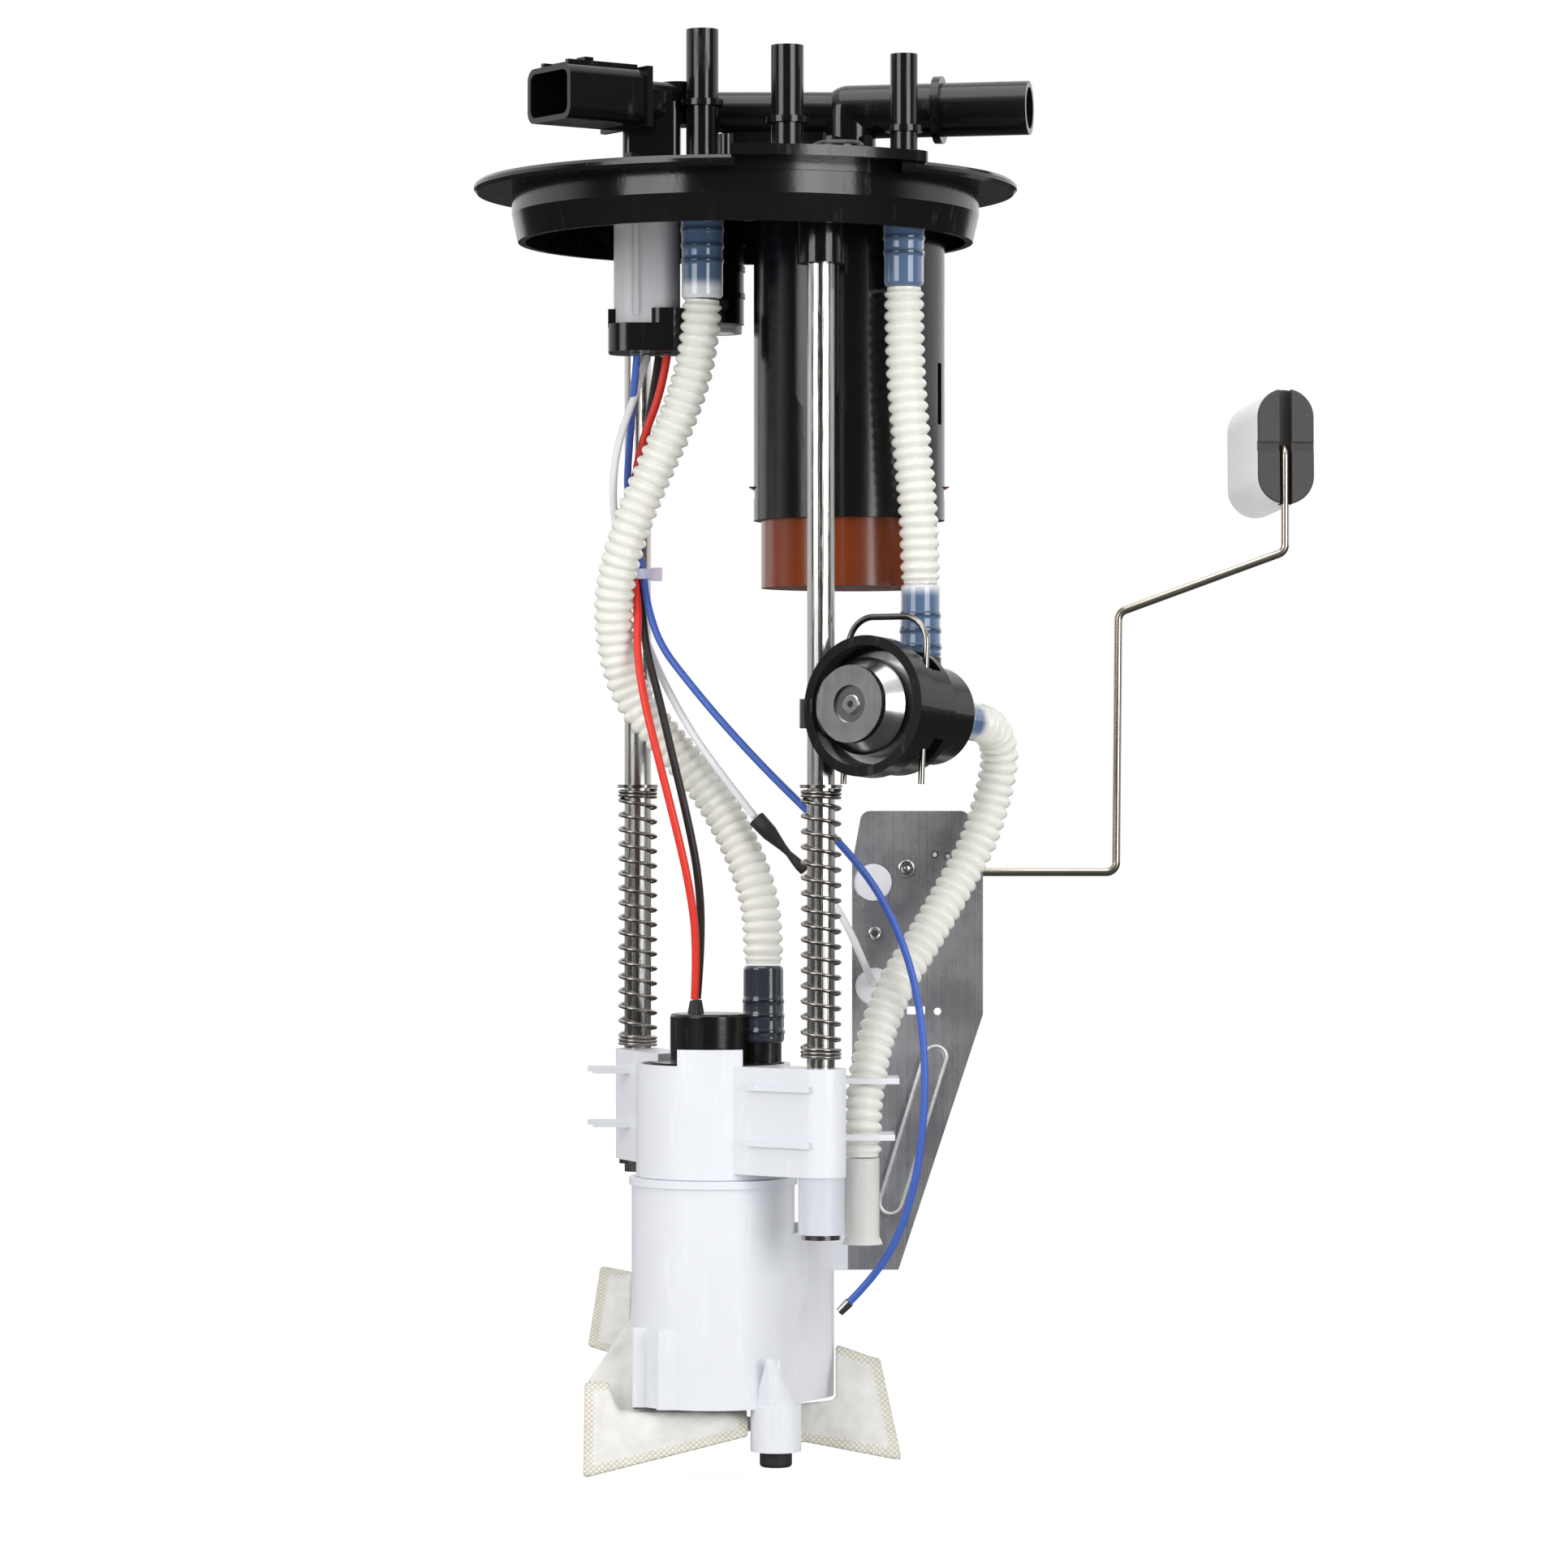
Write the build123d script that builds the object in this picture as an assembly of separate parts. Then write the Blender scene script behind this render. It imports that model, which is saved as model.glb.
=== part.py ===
from build123d import *
import math
import os

os.makedirs("parts", exist_ok=True)

# The origin is the middle of the flange disc's underside, where the module seats on the tank.
# +Z is up and -Y is the side with the locating notch. All sizes are in millimetres.

# Fits
press = 0.02  # radial room of a pressed piece, which holds without an overlap
running = 0.06  # radial room of a turning or sliding fit
seat_gap = 0.3  # room between loose neighbours
joint_gap = 0.35  # room between curved faces on different bodies

# Flange cap
disc_radius = 80.0
disc_thickness = 3.0
skirt_radius = 68.8
skirt_low_radius = 67.0
skirt_straight = 6.4
skirt_depth = 14.3
skirt_wall = 2.2
notch_left = -2.5
notch_right = 44.7
notch_step = 0.8  # how far the notch stops outside the skirt
lip_right = 51.7
lip_height = 3.0
lip_inner_radius = 58.0
deck_rib_radius = 54.0
deck_rib_wall = 2.0
deck_rib_height = 3.0
cap_boss_at = (26.8, -60.0)
cap_boss_radius = 7.8
cap_boss_height = 5.6
small_boss_at = (-5.2, -50.0)
small_boss_radius = 2.2
small_boss_height = 9.0

# Spigots on top of the flange: (x, y), tube radius, tip height, bead height, bead radius
supply_at = (-12.6, -8.0)
spare_at = (12.3, -30.0)
return_at = (46.0, -32.0)
big_spigot_radius = 4.745
small_spigot_radius = 3.945
supply_tip = 47.6
spare_tip = 40.0
return_tip = 37.2
tip_to_bead = 21.6
bead_thickness = 1.8
bead_stand = 1.5
spigot_bore = 3.0
spigot_foot_radius = 7.0
spigot_foot_height = 6.0

# Barbs under the flange, each in a smooth hose end
barb_radius = 4.1
barb_tooth = 0.5
barb_tooth_length = 2.4
barb_bore = 2.6
hose_end_top = -8.0
supply_barb_bottom = -29.5
return_barb_bottom = -28.0

# Vapour elbow over the vent valve
valve_at = (30.6, 4.0)
vapour_radius = 7.9
vapour_bore = 6.1
vapour_height = 24.8
vapour_turn = -12.0
vapour_length = 54.0
vapour_bead_at = 27.0
vapour_bead_radius = 9.9
vapour_bead_width = 2.4
vapour_foot_radius = 12.5
vapour_foot_height = 3.0
bridge_radius = 6.0
bridge_end = -9.0

# Electrical connector, which points left and towards the front
connector_at = (-20.0, 0.0)
connector_height = 26.6
connector_turn = 215.0
socket_length = 28.0
socket_start = 17.0
socket_width = 23.0
socket_depth = 16.0
socket_wall = 1.6
socket_corner = 3.5
neck_width = 10.0  # leaves room for the line's connector on the supply spigot
neck_depth = 12.0
tower_size = (17.0, 18.0)
tower_at = (-27.5, 0.5)
terminal_count = 4
terminal_pitch = 4.2
terminal_size = (0.8, 2.4)
terminal_reach = 12.0

# Guide rods and what holds the springs on them
rod_left_at = (-32.8, 40.0)
rod_right_at = (22.0, -40.0)
rod_radius = 4.0
rod_wall = 0.8
rod_top = -2.0
rod_left_bottom = -290.5
rod_right_bottom = -304.5
rod_boss_radius = 6.8
rod_boss_depth = 24.0
rod_boss_ribs = 4
ring_thickness = 1.0
ring_radius = 6.1
spring_top = -174.8
spring_bottom = -252.8
spring_radius = 5.75
spring_wire = 1.1
spring_turns = 19
clip_radius = 5.6
clip_thickness = 1.2

# Harness plug under the flange
plug_left = -38.9
plug_right = -19.4
plug_front = -4.0
plug_back = 16.0
plug_top = -4.0
plug_bottom = -44.6
plug_corner = 7.0
retainer_wall = 1.6
retainer_top = -38.0
retainer_tall_top = -33.6
wire_hole_radius = 1.45

# Small rollover valve
rollover_at = (-9.4, 22.0)
rollover_radius = 8.8
rollover_bottom = -36.5
rollover_base_depth = 2.6
rollover_nub_radius = 1.5

# Fill limit vent valve
valve_radius = 28.2
valve_wall = 2.0
valve_bottom = -95.9
cup_radius = 26.0
cup_wall = 1.8
cup_bottom = -115.8
cup_rise = 12.0
cup_floor = 2.0
hook_height = 3.2
hook_reach = 3.6
hook_width = 7.0
pocket_width = 13.0
pocket_top = -12.0
pocket_bottom = -65.0
pocket_stand = 1.6
pocket_turn = -110.0
window_top = -50.0
window_bottom = -68.0
window_width = 3.4
float_radius = 22.0
float_height = 52.0
float_travel = 8.0
needle_radius = 3.4
needle_length = 9.0
vent_seat_radius = 6.0
vent_seat_bore = 2.5

# Pressure regulator, clipped to the right rod. Its axis is turned and tipped a little.
regulator_at = (50.8, -31.0)
regulator_height = -153.4
regulator_turn = 35.0
regulator_tip = 4.0
drum_radius = 14.2
drum_back = -7.0
collar_start = 8.0
collar_radius = 18.6
face_ring_start = 23.0
face_ring_end = 30.0
face_ring_radius = 20.2
collar_windows = 4
clamp_radius = 6.2
clamp_height = 8.4
can_radius = 14.0
can_flange_radius = 16.2
can_flange_start = 20.0
can_flange_end = 22.4
can_neck_start = 29.0
can_face_radius = 11.1
can_face_start = 34.4
can_face_end = 36.6
can_recess_radius = 5.4
can_recess_depth = 1.4
can_hole_radius = 0.9
o_ring_at = 15.0
o_ring_wire = 1.1
inlet_length = 21.5
outlet_length = 22.0
clip_wire = 0.9
clip_plane = 18.4
clip_half_width = 13.4
clip_top = 26.5
clip_leg = -21.5

# Pump and the reservoir that slides on the rods
pump_at = (-8.5, -8.0)
pump_radius = 18.8
pump_wall = 0.9
pump_top = -262.0
pump_bottom = -330.0
pump_cap_height = 7.0
tower_cap_at = (-10.2, -8.0)
tower_cap_radius = 11.8
tower_cap_top = -240.8
outlet_at = (5.3, -8.0)
outlet_radius = 4.1
outlet_top = -230.0
inlet_depth = 9.0
inlet_radius = 6.0

shell_at = (-9.4, -8.0)
shell_radius = 22.6
shell_wall = 1.6
holder_top = -255.4
holder_panel_top = -250.6
holder_bottom = -286.5
guide_radius = 6.6
guide_bottom_right = -303.0
prong_thickness = 1.7
prong_levels = (-259.5, -275.6)
finger_drop = 1.5  # the snap fingers sit this far below the prongs
prong_hose_spots = ((35.3, -23.2), (34.0, -26.6))  # where the drain hose passes each level

canister_wall = 1.7
canister_top = -305.0
canister_bottom = -354.8
throat_top = -288.6
throat_radius = 23.9
canister_floor = 2.2
lug_spots = (-29.6, -22.4)
lug_width = 6.4
lug_height = 23.0
leg_at = (9.0, -24.0)
leg_radius = 7.4
leg_height = 12.4
gusset_height = 15.0
gusset_tip = 1.0
gusset_lean = -1.6
foot_radius = 4.7
foot_depth = 4.6

corner_right = (6.3, 12.0)
corner_right_radius = 19.9
corner_back = (-12.0, 22.0)
corner_back_radius = 20.0
rib_stand = 1.0
neck_wall = 1.4
rail_top = -289.0

# Inside the pump
shaft_radius = 1.5
armature_radius = 13.6
armature_slots = 8
commutator_radius = 5.0
commutator_height = 10.0
brush_reach = 13.0
impeller_radius = 15.0
impeller_thickness = 3.2
impeller_vanes = 24

# Strainer
lobe_thickness = 4.6
sock_neck_radius = 9.0
sock_neck_height = 4.0

# Level sender plate, upright behind the drain hose
plate_front = 14.0
plate_thickness = 1.2
plate_corner = 3.0
plate_left = 31.6
plate_right = 70.5
plate_top = -181.6
plate_waist = -242.1
plate_step = -285.5
plate_bottom = -318.0
plate_foot_left = 27.3
plate_foot_right = 45.4
plate_big_holes = [(37.9, -202.8), (38.4, -233.7)]
plate_small_holes = [(56.2, -194.6), (60.1, -195.1), (57.0, -241.2)]
plate_window = (50.6, -240.9)
rivet_spots = [(47.8, -198.7), (38.4, -218.0)]
rivet_shank = 1.5
bead_at = (49.7, -276.4)
bead_length = 52.0
bead_lean = 72.9
plate_hole_radius = 5.7
bead_width = 7.0
bead_height = 1.4
sender_left = 34.0
sender_right = 62.0
sender_top = -186.0
sender_bottom = -236.0
sender_depth = 9.0
sender_wall = 1.6
pivot_at = (43.5, -212.0)
pivot_radius = 2.0
hub_radius = 7.5
hub_thickness = 3.2
wiper_length = 14.0
card_thickness = 0.8
rivet_radius = 2.8

# Float arm and float
arm_wire = 1.2
arm_bend = 3.0
arm_height = -200.0
arm_corner_x = 110.8
arm_upper = -122.3
arm_top_bend = -104.0
float_at = (161.4, -72.6)
float_size = (17.2, 34.8)
float_length = 50.0
float_yaw = 6.0
float_dip = 2.2
float_groove = 2.8

# Cords
supply_hose_diameter = 11.6
return_hose_diameter = 11.4
drain_hose_diameter = 11.2
pump_wire_diameter = 2.4
thin_wire_diameter = 2.2
spout_length = 25.0
spout_wall = 1.0
tie_width = 3.0
tie_wall = 0.9
tie_radius = 4.3
boot_radius = 2.1
crimp_radius = 1.5
crimp_length = 4.2
splice_radii = (2.7, 1.3)
end_gap = 0.4  # room between the end of a cord and the piece that it meets

supply_route = [
    (-12.6, -8.0, -31.7), (-13.4, -8.0, -46.5), (-18.6, -8.0, -63.9), (-26.7, -7.0, -81.2),
    (-33.9, -5.0, -98.2), (-39.0, -1.0, -116.0), (-38.6, 3.0, -132.6), (-33.7, 5.0, -148.6),
    (-22.9, 4.0, -161.4), (-11.2, 2.0, -174.1), (-2.5, -2.0, -189.1), (3.4, -6.2, -203.8),
    (5.3, -8.0, -215.6), (5.3, -8.0, -226.4),
]
return_route = [
    (46.0, -32.0, -30.2), (46.1, -32.4, -50.3), (47.9, -33.0, -73.8), (50.5, -32.0, -97.3),
    (50.8, -31.0, -115.6),
]
drain_route = [
    (67.4, -7.3, -155.4), (70.7, -2.6, -155.8), (74.0, 1.8, -159.2), (75.4, 4.6, -166.5),
    (72.6, 5.0, -179.4), (68.3, 3.0, -191.8), (60.6, -1.0, -205.6), (52.1, -7.0, -219.8),
    (43.6, -13.0, -232.7), (38.4, -18.6, -246.0), (35.3, -23.2, -259.4), (34.0, -26.6, -271.0),
    (34.0, -26.6, -281.6),
]
red_route = [
    (-23.1, 3.0, -46.9), (-24.8, 4.0, -57.6), (-30.4, 6.0, -71.3), (-33.4, 7.0, -85.7),
    (-32.6, 7.2, -99.4), (-33.0, 6.4, -111.5), (-31.6, 0.5, -122.4), (-31.9, -5.4, -134.4),
    (-29.8, -10.0, -148.4), (-25.7, -13.4, -164.8), (-21.0, -14.4, -183.0), (-16.4, -14.0, -202.4),
    (-14.0, -12.0, -220.2), (-14.8, -10.6, -236.6),
]
black_route = [
    (-25.7, 8.4, -46.9), (-27.4, 9.6, -57.9), (-30.0, 10.2, -72.3), (-31.0, 10.0, -86.8),
    (-30.8, 9.8, -99.8), (-31.9, 9.3, -111.5), (-30.6, 5.5, -122.4), (-29.2, 0.4, -134.4),
    (-25.6, -4.6, -147.4), (-21.8, -8.6, -163.4), (-17.4, -10.4, -181.4), (-13.6, -9.6, -200.2),
    (-12.7, -6.6, -219.0), (-14.2, -4.4, -236.6),
]
blue_route = [
    (-32.1, 3.0, -46.9), (-33.1, 3.6, -59.1), (-34.4, 4.0, -73.5), (-35.2, 3.8, -87.9),
    (-32.6, 2.4, -100.6), (-30.3, 7.2, -111.5), (-28.8, 1.6, -121.8), (-24.9, -3.4, -133.0),
    (-17.3, -9.0, -142.9), (-7.8, -14.4, -154.4), (5.2, -20.0, -168.6), (18.4, -25.0, -181.6),
    (29.4, -26.6, -192.6), (38.7, -26.0, -204.5), (45.7, -25.6, -218.9), (50.0, -26.6, -234.1),
    (52.2, -28.0, -251.6), (52.0, -28.6, -269.3), (49.9, -28.0, -287.0), (45.2, -26.0, -303.7),
    (38.0, -23.4, -316.3), (30.4, -21.6, -324.2),
]
white_route = [
    (-29.1, 8.4, -46.9), (-31.6, 9.2, -59.5), (-36.1, 9.8, -73.7), (-37.0, 9.8, -87.6),
    (-36.4, 9.4, -100.2), (-34.4, 9.0, -111.5), (-32.6, 8.6, -121.4), (-29.0, 5.4, -132.4),
    (-23.6, 0.4, -144.6), (-15.9, -6.0, -158.4), (-6.8, -10.8, -171.0), (2.8, -12.6, -183.2),
]
white_tail_route = [
    (17.8, -14.2, -199.4), (24.4, -14.6, -206.1), (30.0, -12.6, -215.2), (34.0, -6.0, -224.2),
    (36.6, 3.0, -230.2), (37.8, 10.5, -232.6), (38.2, 16.4, -232.9),
]

nodes = {}


def bar(radius, low, high, at=(0, 0), frame=Location()):
    """A round bar along the frame's Z from low to high."""
    return frame * Pos(at[0], at[1], (low + high) / 2) * Cylinder(radius, high - low)


def pipe(radius, bore, low, high, at=(0, 0), frame=Location()):
    """A round tube along the frame's Z."""
    return bar(radius, low, high, at, frame) - bar(bore, low - 1, high + 1, at, frame)


def block(x0, x1, y0, y1, z0, z1, frame=Location()):
    """A box between two corners."""
    middle = Pos((x0 + x1) / 2, (y0 + y1) / 2, (z0 + z1) / 2)
    return frame * middle * Box(x1 - x0, y1 - y0, z1 - z0)


def rounded(x0, x1, y0, y1, z0, z1, corner, frame=Location()):
    """A box with rounded upright edges."""
    outline = RectangleRounded(x1 - x0, y1 - y0, corner)
    return frame * Pos((x0 + x1) / 2, (y0 + y1) / 2, z0) * extrude(outline, z1 - z0)


def barb(at, root, tip, frame=Location()):
    """A hose barb along the frame's Z, with two teeth that are slim towards its tip."""
    solid = bar(barb_radius, min(root, tip), max(root, tip), at, frame)
    radii = (barb_radius, barb_radius + barb_tooth)
    if tip > root:
        radii = radii[::-1]
    for share in (0.35, 0.7):
        middle = root + share * (tip - root)
        solid += frame * Pos(at[0], at[1], middle) * Cone(*radii, barb_tooth_length)
    return solid


def hose_end(at, high, low, diameter, frame=Location()):
    """The smooth end of a hose, which sits over a barb."""
    return pipe(hose_end_outer(diameter), barb_radius + barb_tooth + press, low, high, at, frame)


def spigot(at, radius, tip):
    """A quick-connect spigot with its bead and foot."""
    bead_middle = tip - tip_to_bead
    solid = bar(radius, disc_thickness, tip, at)
    solid += bar(radius + bead_stand, bead_middle - bead_thickness / 2, bead_middle + bead_thickness / 2, at)
    solid += bar(spigot_foot_radius, disc_thickness, disc_thickness + spigot_foot_height, at)
    return solid


def cord(name, route, diameter):
    """A plain tube along straight runs joined by arcs as large as the runs allow."""
    points = [Vector(*p) for p in route]
    radii = []
    for before, here, after in zip(points, points[1:], points[2:]):
        turn = (here - before).get_angle(after - here)
        shorter = min((here - before).length, (after - here).length)
        radii.append(0.45 * shorter / math.tan(math.radians(turn) / 2))
    path = FilletPolyline(*points, radius=radii)
    start = Plane(origin=path @ 0, z_dir=path % 0)
    tube = sweep(start * Circle(diameter / 2), path=path)
    ideal = math.pi * diameter**2 / 4 * path.length
    print(name, "length", round(path.length, 1), "radii", [round(r, 1) for r in radii],
          "volume ratio", round(tube.volume / ideal, 4))
    return tube


def coil_spring(at):
    """A compression spring with closed ends."""
    low = spring_bottom + spring_wire * 1.5
    high = spring_top - spring_wire * 1.5
    pitch = (high - low) / spring_turns
    coil = Helix(pitch=pitch, height=high - low, radius=spring_radius)
    section = Plane(origin=coil @ 0, z_dir=coil % 0) * RegularPolygon(spring_wire / 2, 6)
    solid = Pos(at[0], at[1], low) * sweep(section, path=coil, is_frenet=True)
    outer = spring_radius + spring_wire / 2
    inner = spring_radius - spring_wire / 2
    for z in (spring_bottom, spring_top - 2 * spring_wire):
        solid += pipe(outer, inner, z, z + 2 * spring_wire, at)
    return solid


def flange_cap():
    low_inner = skirt_low_radius - skirt_wall
    high_inner = skirt_radius - skirt_wall
    edge = disc_thickness / 3
    profile = Polyline(
        (0, 0), (high_inner, 0), (high_inner, -skirt_straight), (low_inner, -skirt_depth),
        (skirt_low_radius, -skirt_depth), (skirt_radius, -skirt_straight), (skirt_radius, 0),
        (disc_radius - edge, 0), (disc_radius, edge), (disc_radius, 2 * edge),
        (disc_radius - edge, disc_thickness), (0, disc_thickness), close=True,
    )
    solid = revolve(Plane.XZ * make_face(profile), axis=Axis.Z)

    # Notch in the disc at the front, with a raised lip above it
    notch = block(notch_left, notch_right, -disc_radius - 1, 0, -1, disc_thickness + 1)
    solid -= notch - bar(skirt_radius + notch_step, -2, disc_thickness + 2)
    lip = pipe(disc_radius, lip_inner_radius, disc_thickness, disc_thickness + lip_height)
    lip &= block(notch_left - 1, lip_right, -disc_radius - 1, 0, 0, disc_thickness + lip_height)
    solid += lip

    # Stiffening rib round the deck, spokes and small bosses
    rib_top = disc_thickness + deck_rib_height
    solid += pipe(deck_rib_radius, deck_rib_radius - deck_rib_wall, disc_thickness, rib_top)
    for turn in (20, 75, 130, 185, 240):
        spoke = block(deck_rib_radius - 1, lip_inner_radius + 8, -1, 1, disc_thickness, rib_top)
        solid += Rot(0, 0, turn) * spoke
    boss_top = disc_thickness + cap_boss_height
    boss = bar(cap_boss_radius, disc_thickness, boss_top, cap_boss_at)
    solid += fillet(boss.edges().group_by(Axis.Z)[-1], 1.6)
    solid += bar(small_boss_radius, disc_thickness, disc_thickness + small_boss_height, small_boss_at)

    # Spigots and their barbs
    solid += spigot(supply_at, big_spigot_radius, supply_tip)
    solid += spigot(spare_at, big_spigot_radius, spare_tip)
    solid += spigot(return_at, small_spigot_radius, return_tip)
    solid += barb(supply_at, 0, supply_barb_bottom)
    solid += barb(return_at, 0, return_barb_bottom)

    # Connector body on its tower
    shell, hollow = connector_shell()
    tower = rounded(
        tower_at[0] - tower_size[0] / 2, tower_at[0] + tower_size[0] / 2,
        tower_at[1] - tower_size[1] / 2, tower_at[1] + tower_size[1] / 2,
        disc_thickness, connector_height, 2.5,
    )
    solid += tower
    solid += shell
    solid -= hollow

    # Rod bosses with ribs, and the header that the harness plug meets
    for at in (rod_left_at, rod_right_at):
        solid += bar(rod_boss_radius, -rod_boss_depth, 0, at)
        for turn in range(0, 360, 360 // rod_boss_ribs):
            rib = block(0, rod_boss_radius + 3, -0.9, 0.9, -rod_boss_depth / 2, 0)
            solid += Pos(at[0], at[1], 0) * Rot(0, 0, turn + 25) * rib
        solid -= bar(rod_radius + press, -rod_boss_depth - 1, rod_top, at)
    solid += rounded(
        plug_left + 2, plug_right - 2, plug_front + 2, plug_back - 2, plug_top, 0, plug_corner - 2
    )

    # Bores, last so that they pass through everything
    solid -= bar(spigot_bore, 4, supply_tip + 1, supply_at)
    solid -= bar(barb_bore, supply_barb_bottom - 1, 5, supply_at)
    solid -= bar(spigot_bore, 4, spare_tip + 1, spare_at)
    solid -= bar(barb_bore, -1, 5, spare_at)
    solid -= bar(barb_bore, return_barb_bottom - 1, return_tip + 1, return_at)
    solid -= bar(vent_seat_bore, -1, disc_thickness + 1, valve_at)
    return solid


def connector_frame():
    """X along the connector from its elbow to its mouth, Z up, at the connector's middle height."""
    return Pos(connector_at[0], connector_at[1], connector_height) * Rot(0, 0, connector_turn)


def connector_shell():
    frame = connector_frame()
    half_width = socket_width / 2
    half_depth = socket_depth / 2
    mouth = socket_start + socket_length
    facing = frame * Rot(0, 90, 0)
    outer = facing * Pos(0, 0, socket_start) * extrude(
        RectangleRounded(socket_depth, socket_width, socket_corner), socket_length
    )
    inner = facing * Pos(0, 0, socket_start + 3) * extrude(
        RectangleRounded(socket_depth - 2 * socket_wall, socket_width - 2 * socket_wall, socket_corner - 1),
        socket_length,
    )
    neck = facing * Pos(0, 0, -4) * extrude(
        RectangleRounded(neck_depth, neck_width, socket_corner), socket_start + 6
    )
    knee = bar(neck_width / 2 + 0.3, -neck_depth / 2 - 0.3, neck_depth / 2 + 0.3, (0, 0), frame)
    shell = outer + neck + knee
    # Two keying ribs and the latch ramp along the top
    for side in (-1, 1):
        shell += block(
            socket_start + 2, mouth - 2, side * 6.5 - 0.8, side * 6.5 + 0.8,
            half_depth - 0.5, half_depth + 1.6, frame,
        )
    shell += block(mouth - 19, mouth - 3, -3.2, 3.2, half_depth - 0.5, half_depth + 1.1, frame)
    shell += block(mouth - 14, mouth - 11, -2.2, 2.2, half_depth, half_depth + 3.4, frame)
    shell += block(
        socket_start, socket_start + 2, -half_width - 1, half_width + 1,
        -half_depth - 0.8, half_depth + 0.8, frame,
    )
    return shell, inner


def connector_terminals():
    frame = connector_frame()
    solid = Part()
    start = socket_start + 3
    for i in range(terminal_count):
        y = (i - (terminal_count - 1) / 2) * terminal_pitch
        blade = block(
            start, start + terminal_reach, y - terminal_size[1] / 2, y + terminal_size[1] / 2,
            -terminal_size[0] / 2, terminal_size[0] / 2, frame,
        )
        solid += blade
    return solid


def vapour_elbow():
    turned = Pos(valve_at[0], valve_at[1], vapour_height) * Rot(0, 0, vapour_turn)
    along = turned * Rot(0, 90, 0)
    low = disc_thickness
    solid = bar(vapour_radius, low, vapour_height, valve_at)
    solid += Pos(valve_at[0], valve_at[1], vapour_height) * Sphere(vapour_radius)
    solid += bar(vapour_radius, 0, vapour_length, (0, 0), along)
    bead = (vapour_bead_at - vapour_bead_width / 2, vapour_bead_at + vapour_bead_width / 2)
    solid += bar(vapour_bead_radius, *bead, (0, 0), along)
    solid += bar(vapour_foot_radius, low, low + vapour_foot_height, valve_at)
    # Blind branch towards the connector, with a web under it
    reach = valve_at[0] - bridge_end
    level = Pos(valve_at[0], valve_at[1], vapour_height) * Rot(0, -90, 0)
    solid += bar(bridge_radius, 0, reach, (0, 0), level)
    solid += block(
        bridge_end + 2, valve_at[0], valve_at[1] - 1.2, valve_at[1] + 1.2,
        low + seat_gap, vapour_height,
    )
    # Ribs between the foot and the elbow
    for turn in (60, 120, 240, 300):
        rib = block(0, vapour_foot_radius - 0.5, -0.9, 0.9, low + 1, vapour_height - 8)
        solid += Pos(valve_at[0], valve_at[1], 0) * Rot(0, 0, turn) * rib
    solid -= bar(vapour_bore, 0, vapour_length + 1, (0, 0), along)
    solid -= bar(vapour_bore, low - 1, vapour_height, valve_at)
    solid -= Pos(valve_at[0], valve_at[1], vapour_height) * Sphere(vapour_bore)
    return solid


def guide_rod(at, bottom):
    return pipe(rod_radius, rod_radius - rod_wall, bottom, rod_top, at)


def spring_rings():
    """Rings pressed on the rods above the springs."""
    solid = Part()
    for at in (rod_left_at, rod_right_at):
        ring = pipe(ring_radius, rod_radius + press, spring_top, spring_top + ring_thickness, at)
        solid += ring
    return solid


def rod_clips():
    """Clips at the rods' lower ends, which keep the reservoir on them."""
    solid = Part()
    ends = ((rod_left_at, holder_bottom), (rod_right_at, guide_bottom_right))
    for at, seat in ends:
        solid += pipe(clip_radius, rod_radius + press, seat - seat_gap - clip_thickness, seat - seat_gap, at)
    return solid


def harness_plug():
    solid = rounded(plug_left, plug_right, plug_front, plug_back, plug_bottom, plug_top, plug_corner)
    middle = (plug_left + plug_right) / 2
    # Key rib on the front, and a hole for each wire
    key_left = middle - 3.6
    solid += block(key_left, key_left + 1.4, plug_front - 0.8, plug_front + 1, plug_bottom + 9, plug_top - 3)
    for route in (red_route, black_route, blue_route, white_route):
        x, y, _ = route[0]
        solid -= bar(wire_hole_radius, plug_bottom - 1, plug_bottom + 8, (x, y))
    return solid


def plug_retainer():
    gap = running
    outer = rounded(
        plug_left - retainer_wall, plug_right + retainer_wall, plug_front - retainer_wall,
        plug_back + retainer_wall, plug_bottom - retainer_wall, retainer_top, plug_corner,
    )
    outer += rounded(
        plug_right - 9, plug_right + retainer_wall, plug_front - retainer_wall,
        plug_back + retainer_wall, plug_bottom - retainer_wall, retainer_tall_top, 4,
    )
    outer += block(
        plug_left - retainer_wall, plug_left + 1, 0, 5, retainer_top - 1, retainer_tall_top,
    )
    pocket = rounded(
        plug_left - gap, plug_right + gap, plug_front - gap, plug_back + gap,
        plug_bottom, plug_top, plug_corner,
    )
    middle = (plug_left + plug_right) / 2
    key = block(
        middle - 4, middle - 1.8, plug_front - retainer_wall - 1, plug_front + 1,
        plug_bottom + 8, plug_top,
    )
    solid = outer - pocket - key
    for route in (red_route, black_route, blue_route, white_route):
        x, y, _ = route[0]
        solid -= bar(wire_hole_radius, plug_bottom - retainer_wall - 1, plug_bottom + 1, (x, y))
    return solid


def rollover_valve():
    solid = bar(rollover_radius, rollover_bottom, 0, rollover_at)
    for z in (-12, -20, -28):
        solid += bar(rollover_radius + 0.4, z - 0.8, z + 0.8, rollover_at)
    nub = Pos(rollover_at[0] + 3, rollover_at[1], -31.5) * Rot(90, 0, 0)
    solid += nub * Pos(0, 0, rollover_radius / 2) * Cylinder(rollover_nub_radius, rollover_radius + 3)
    return solid


def rollover_base():
    top = rollover_bottom
    solid = bar(rollover_radius - 0.6, top - rollover_base_depth, top, rollover_at)
    return solid - bar(rollover_radius - 3, top - rollover_base_depth - 1, top - 1, rollover_at)


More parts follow.
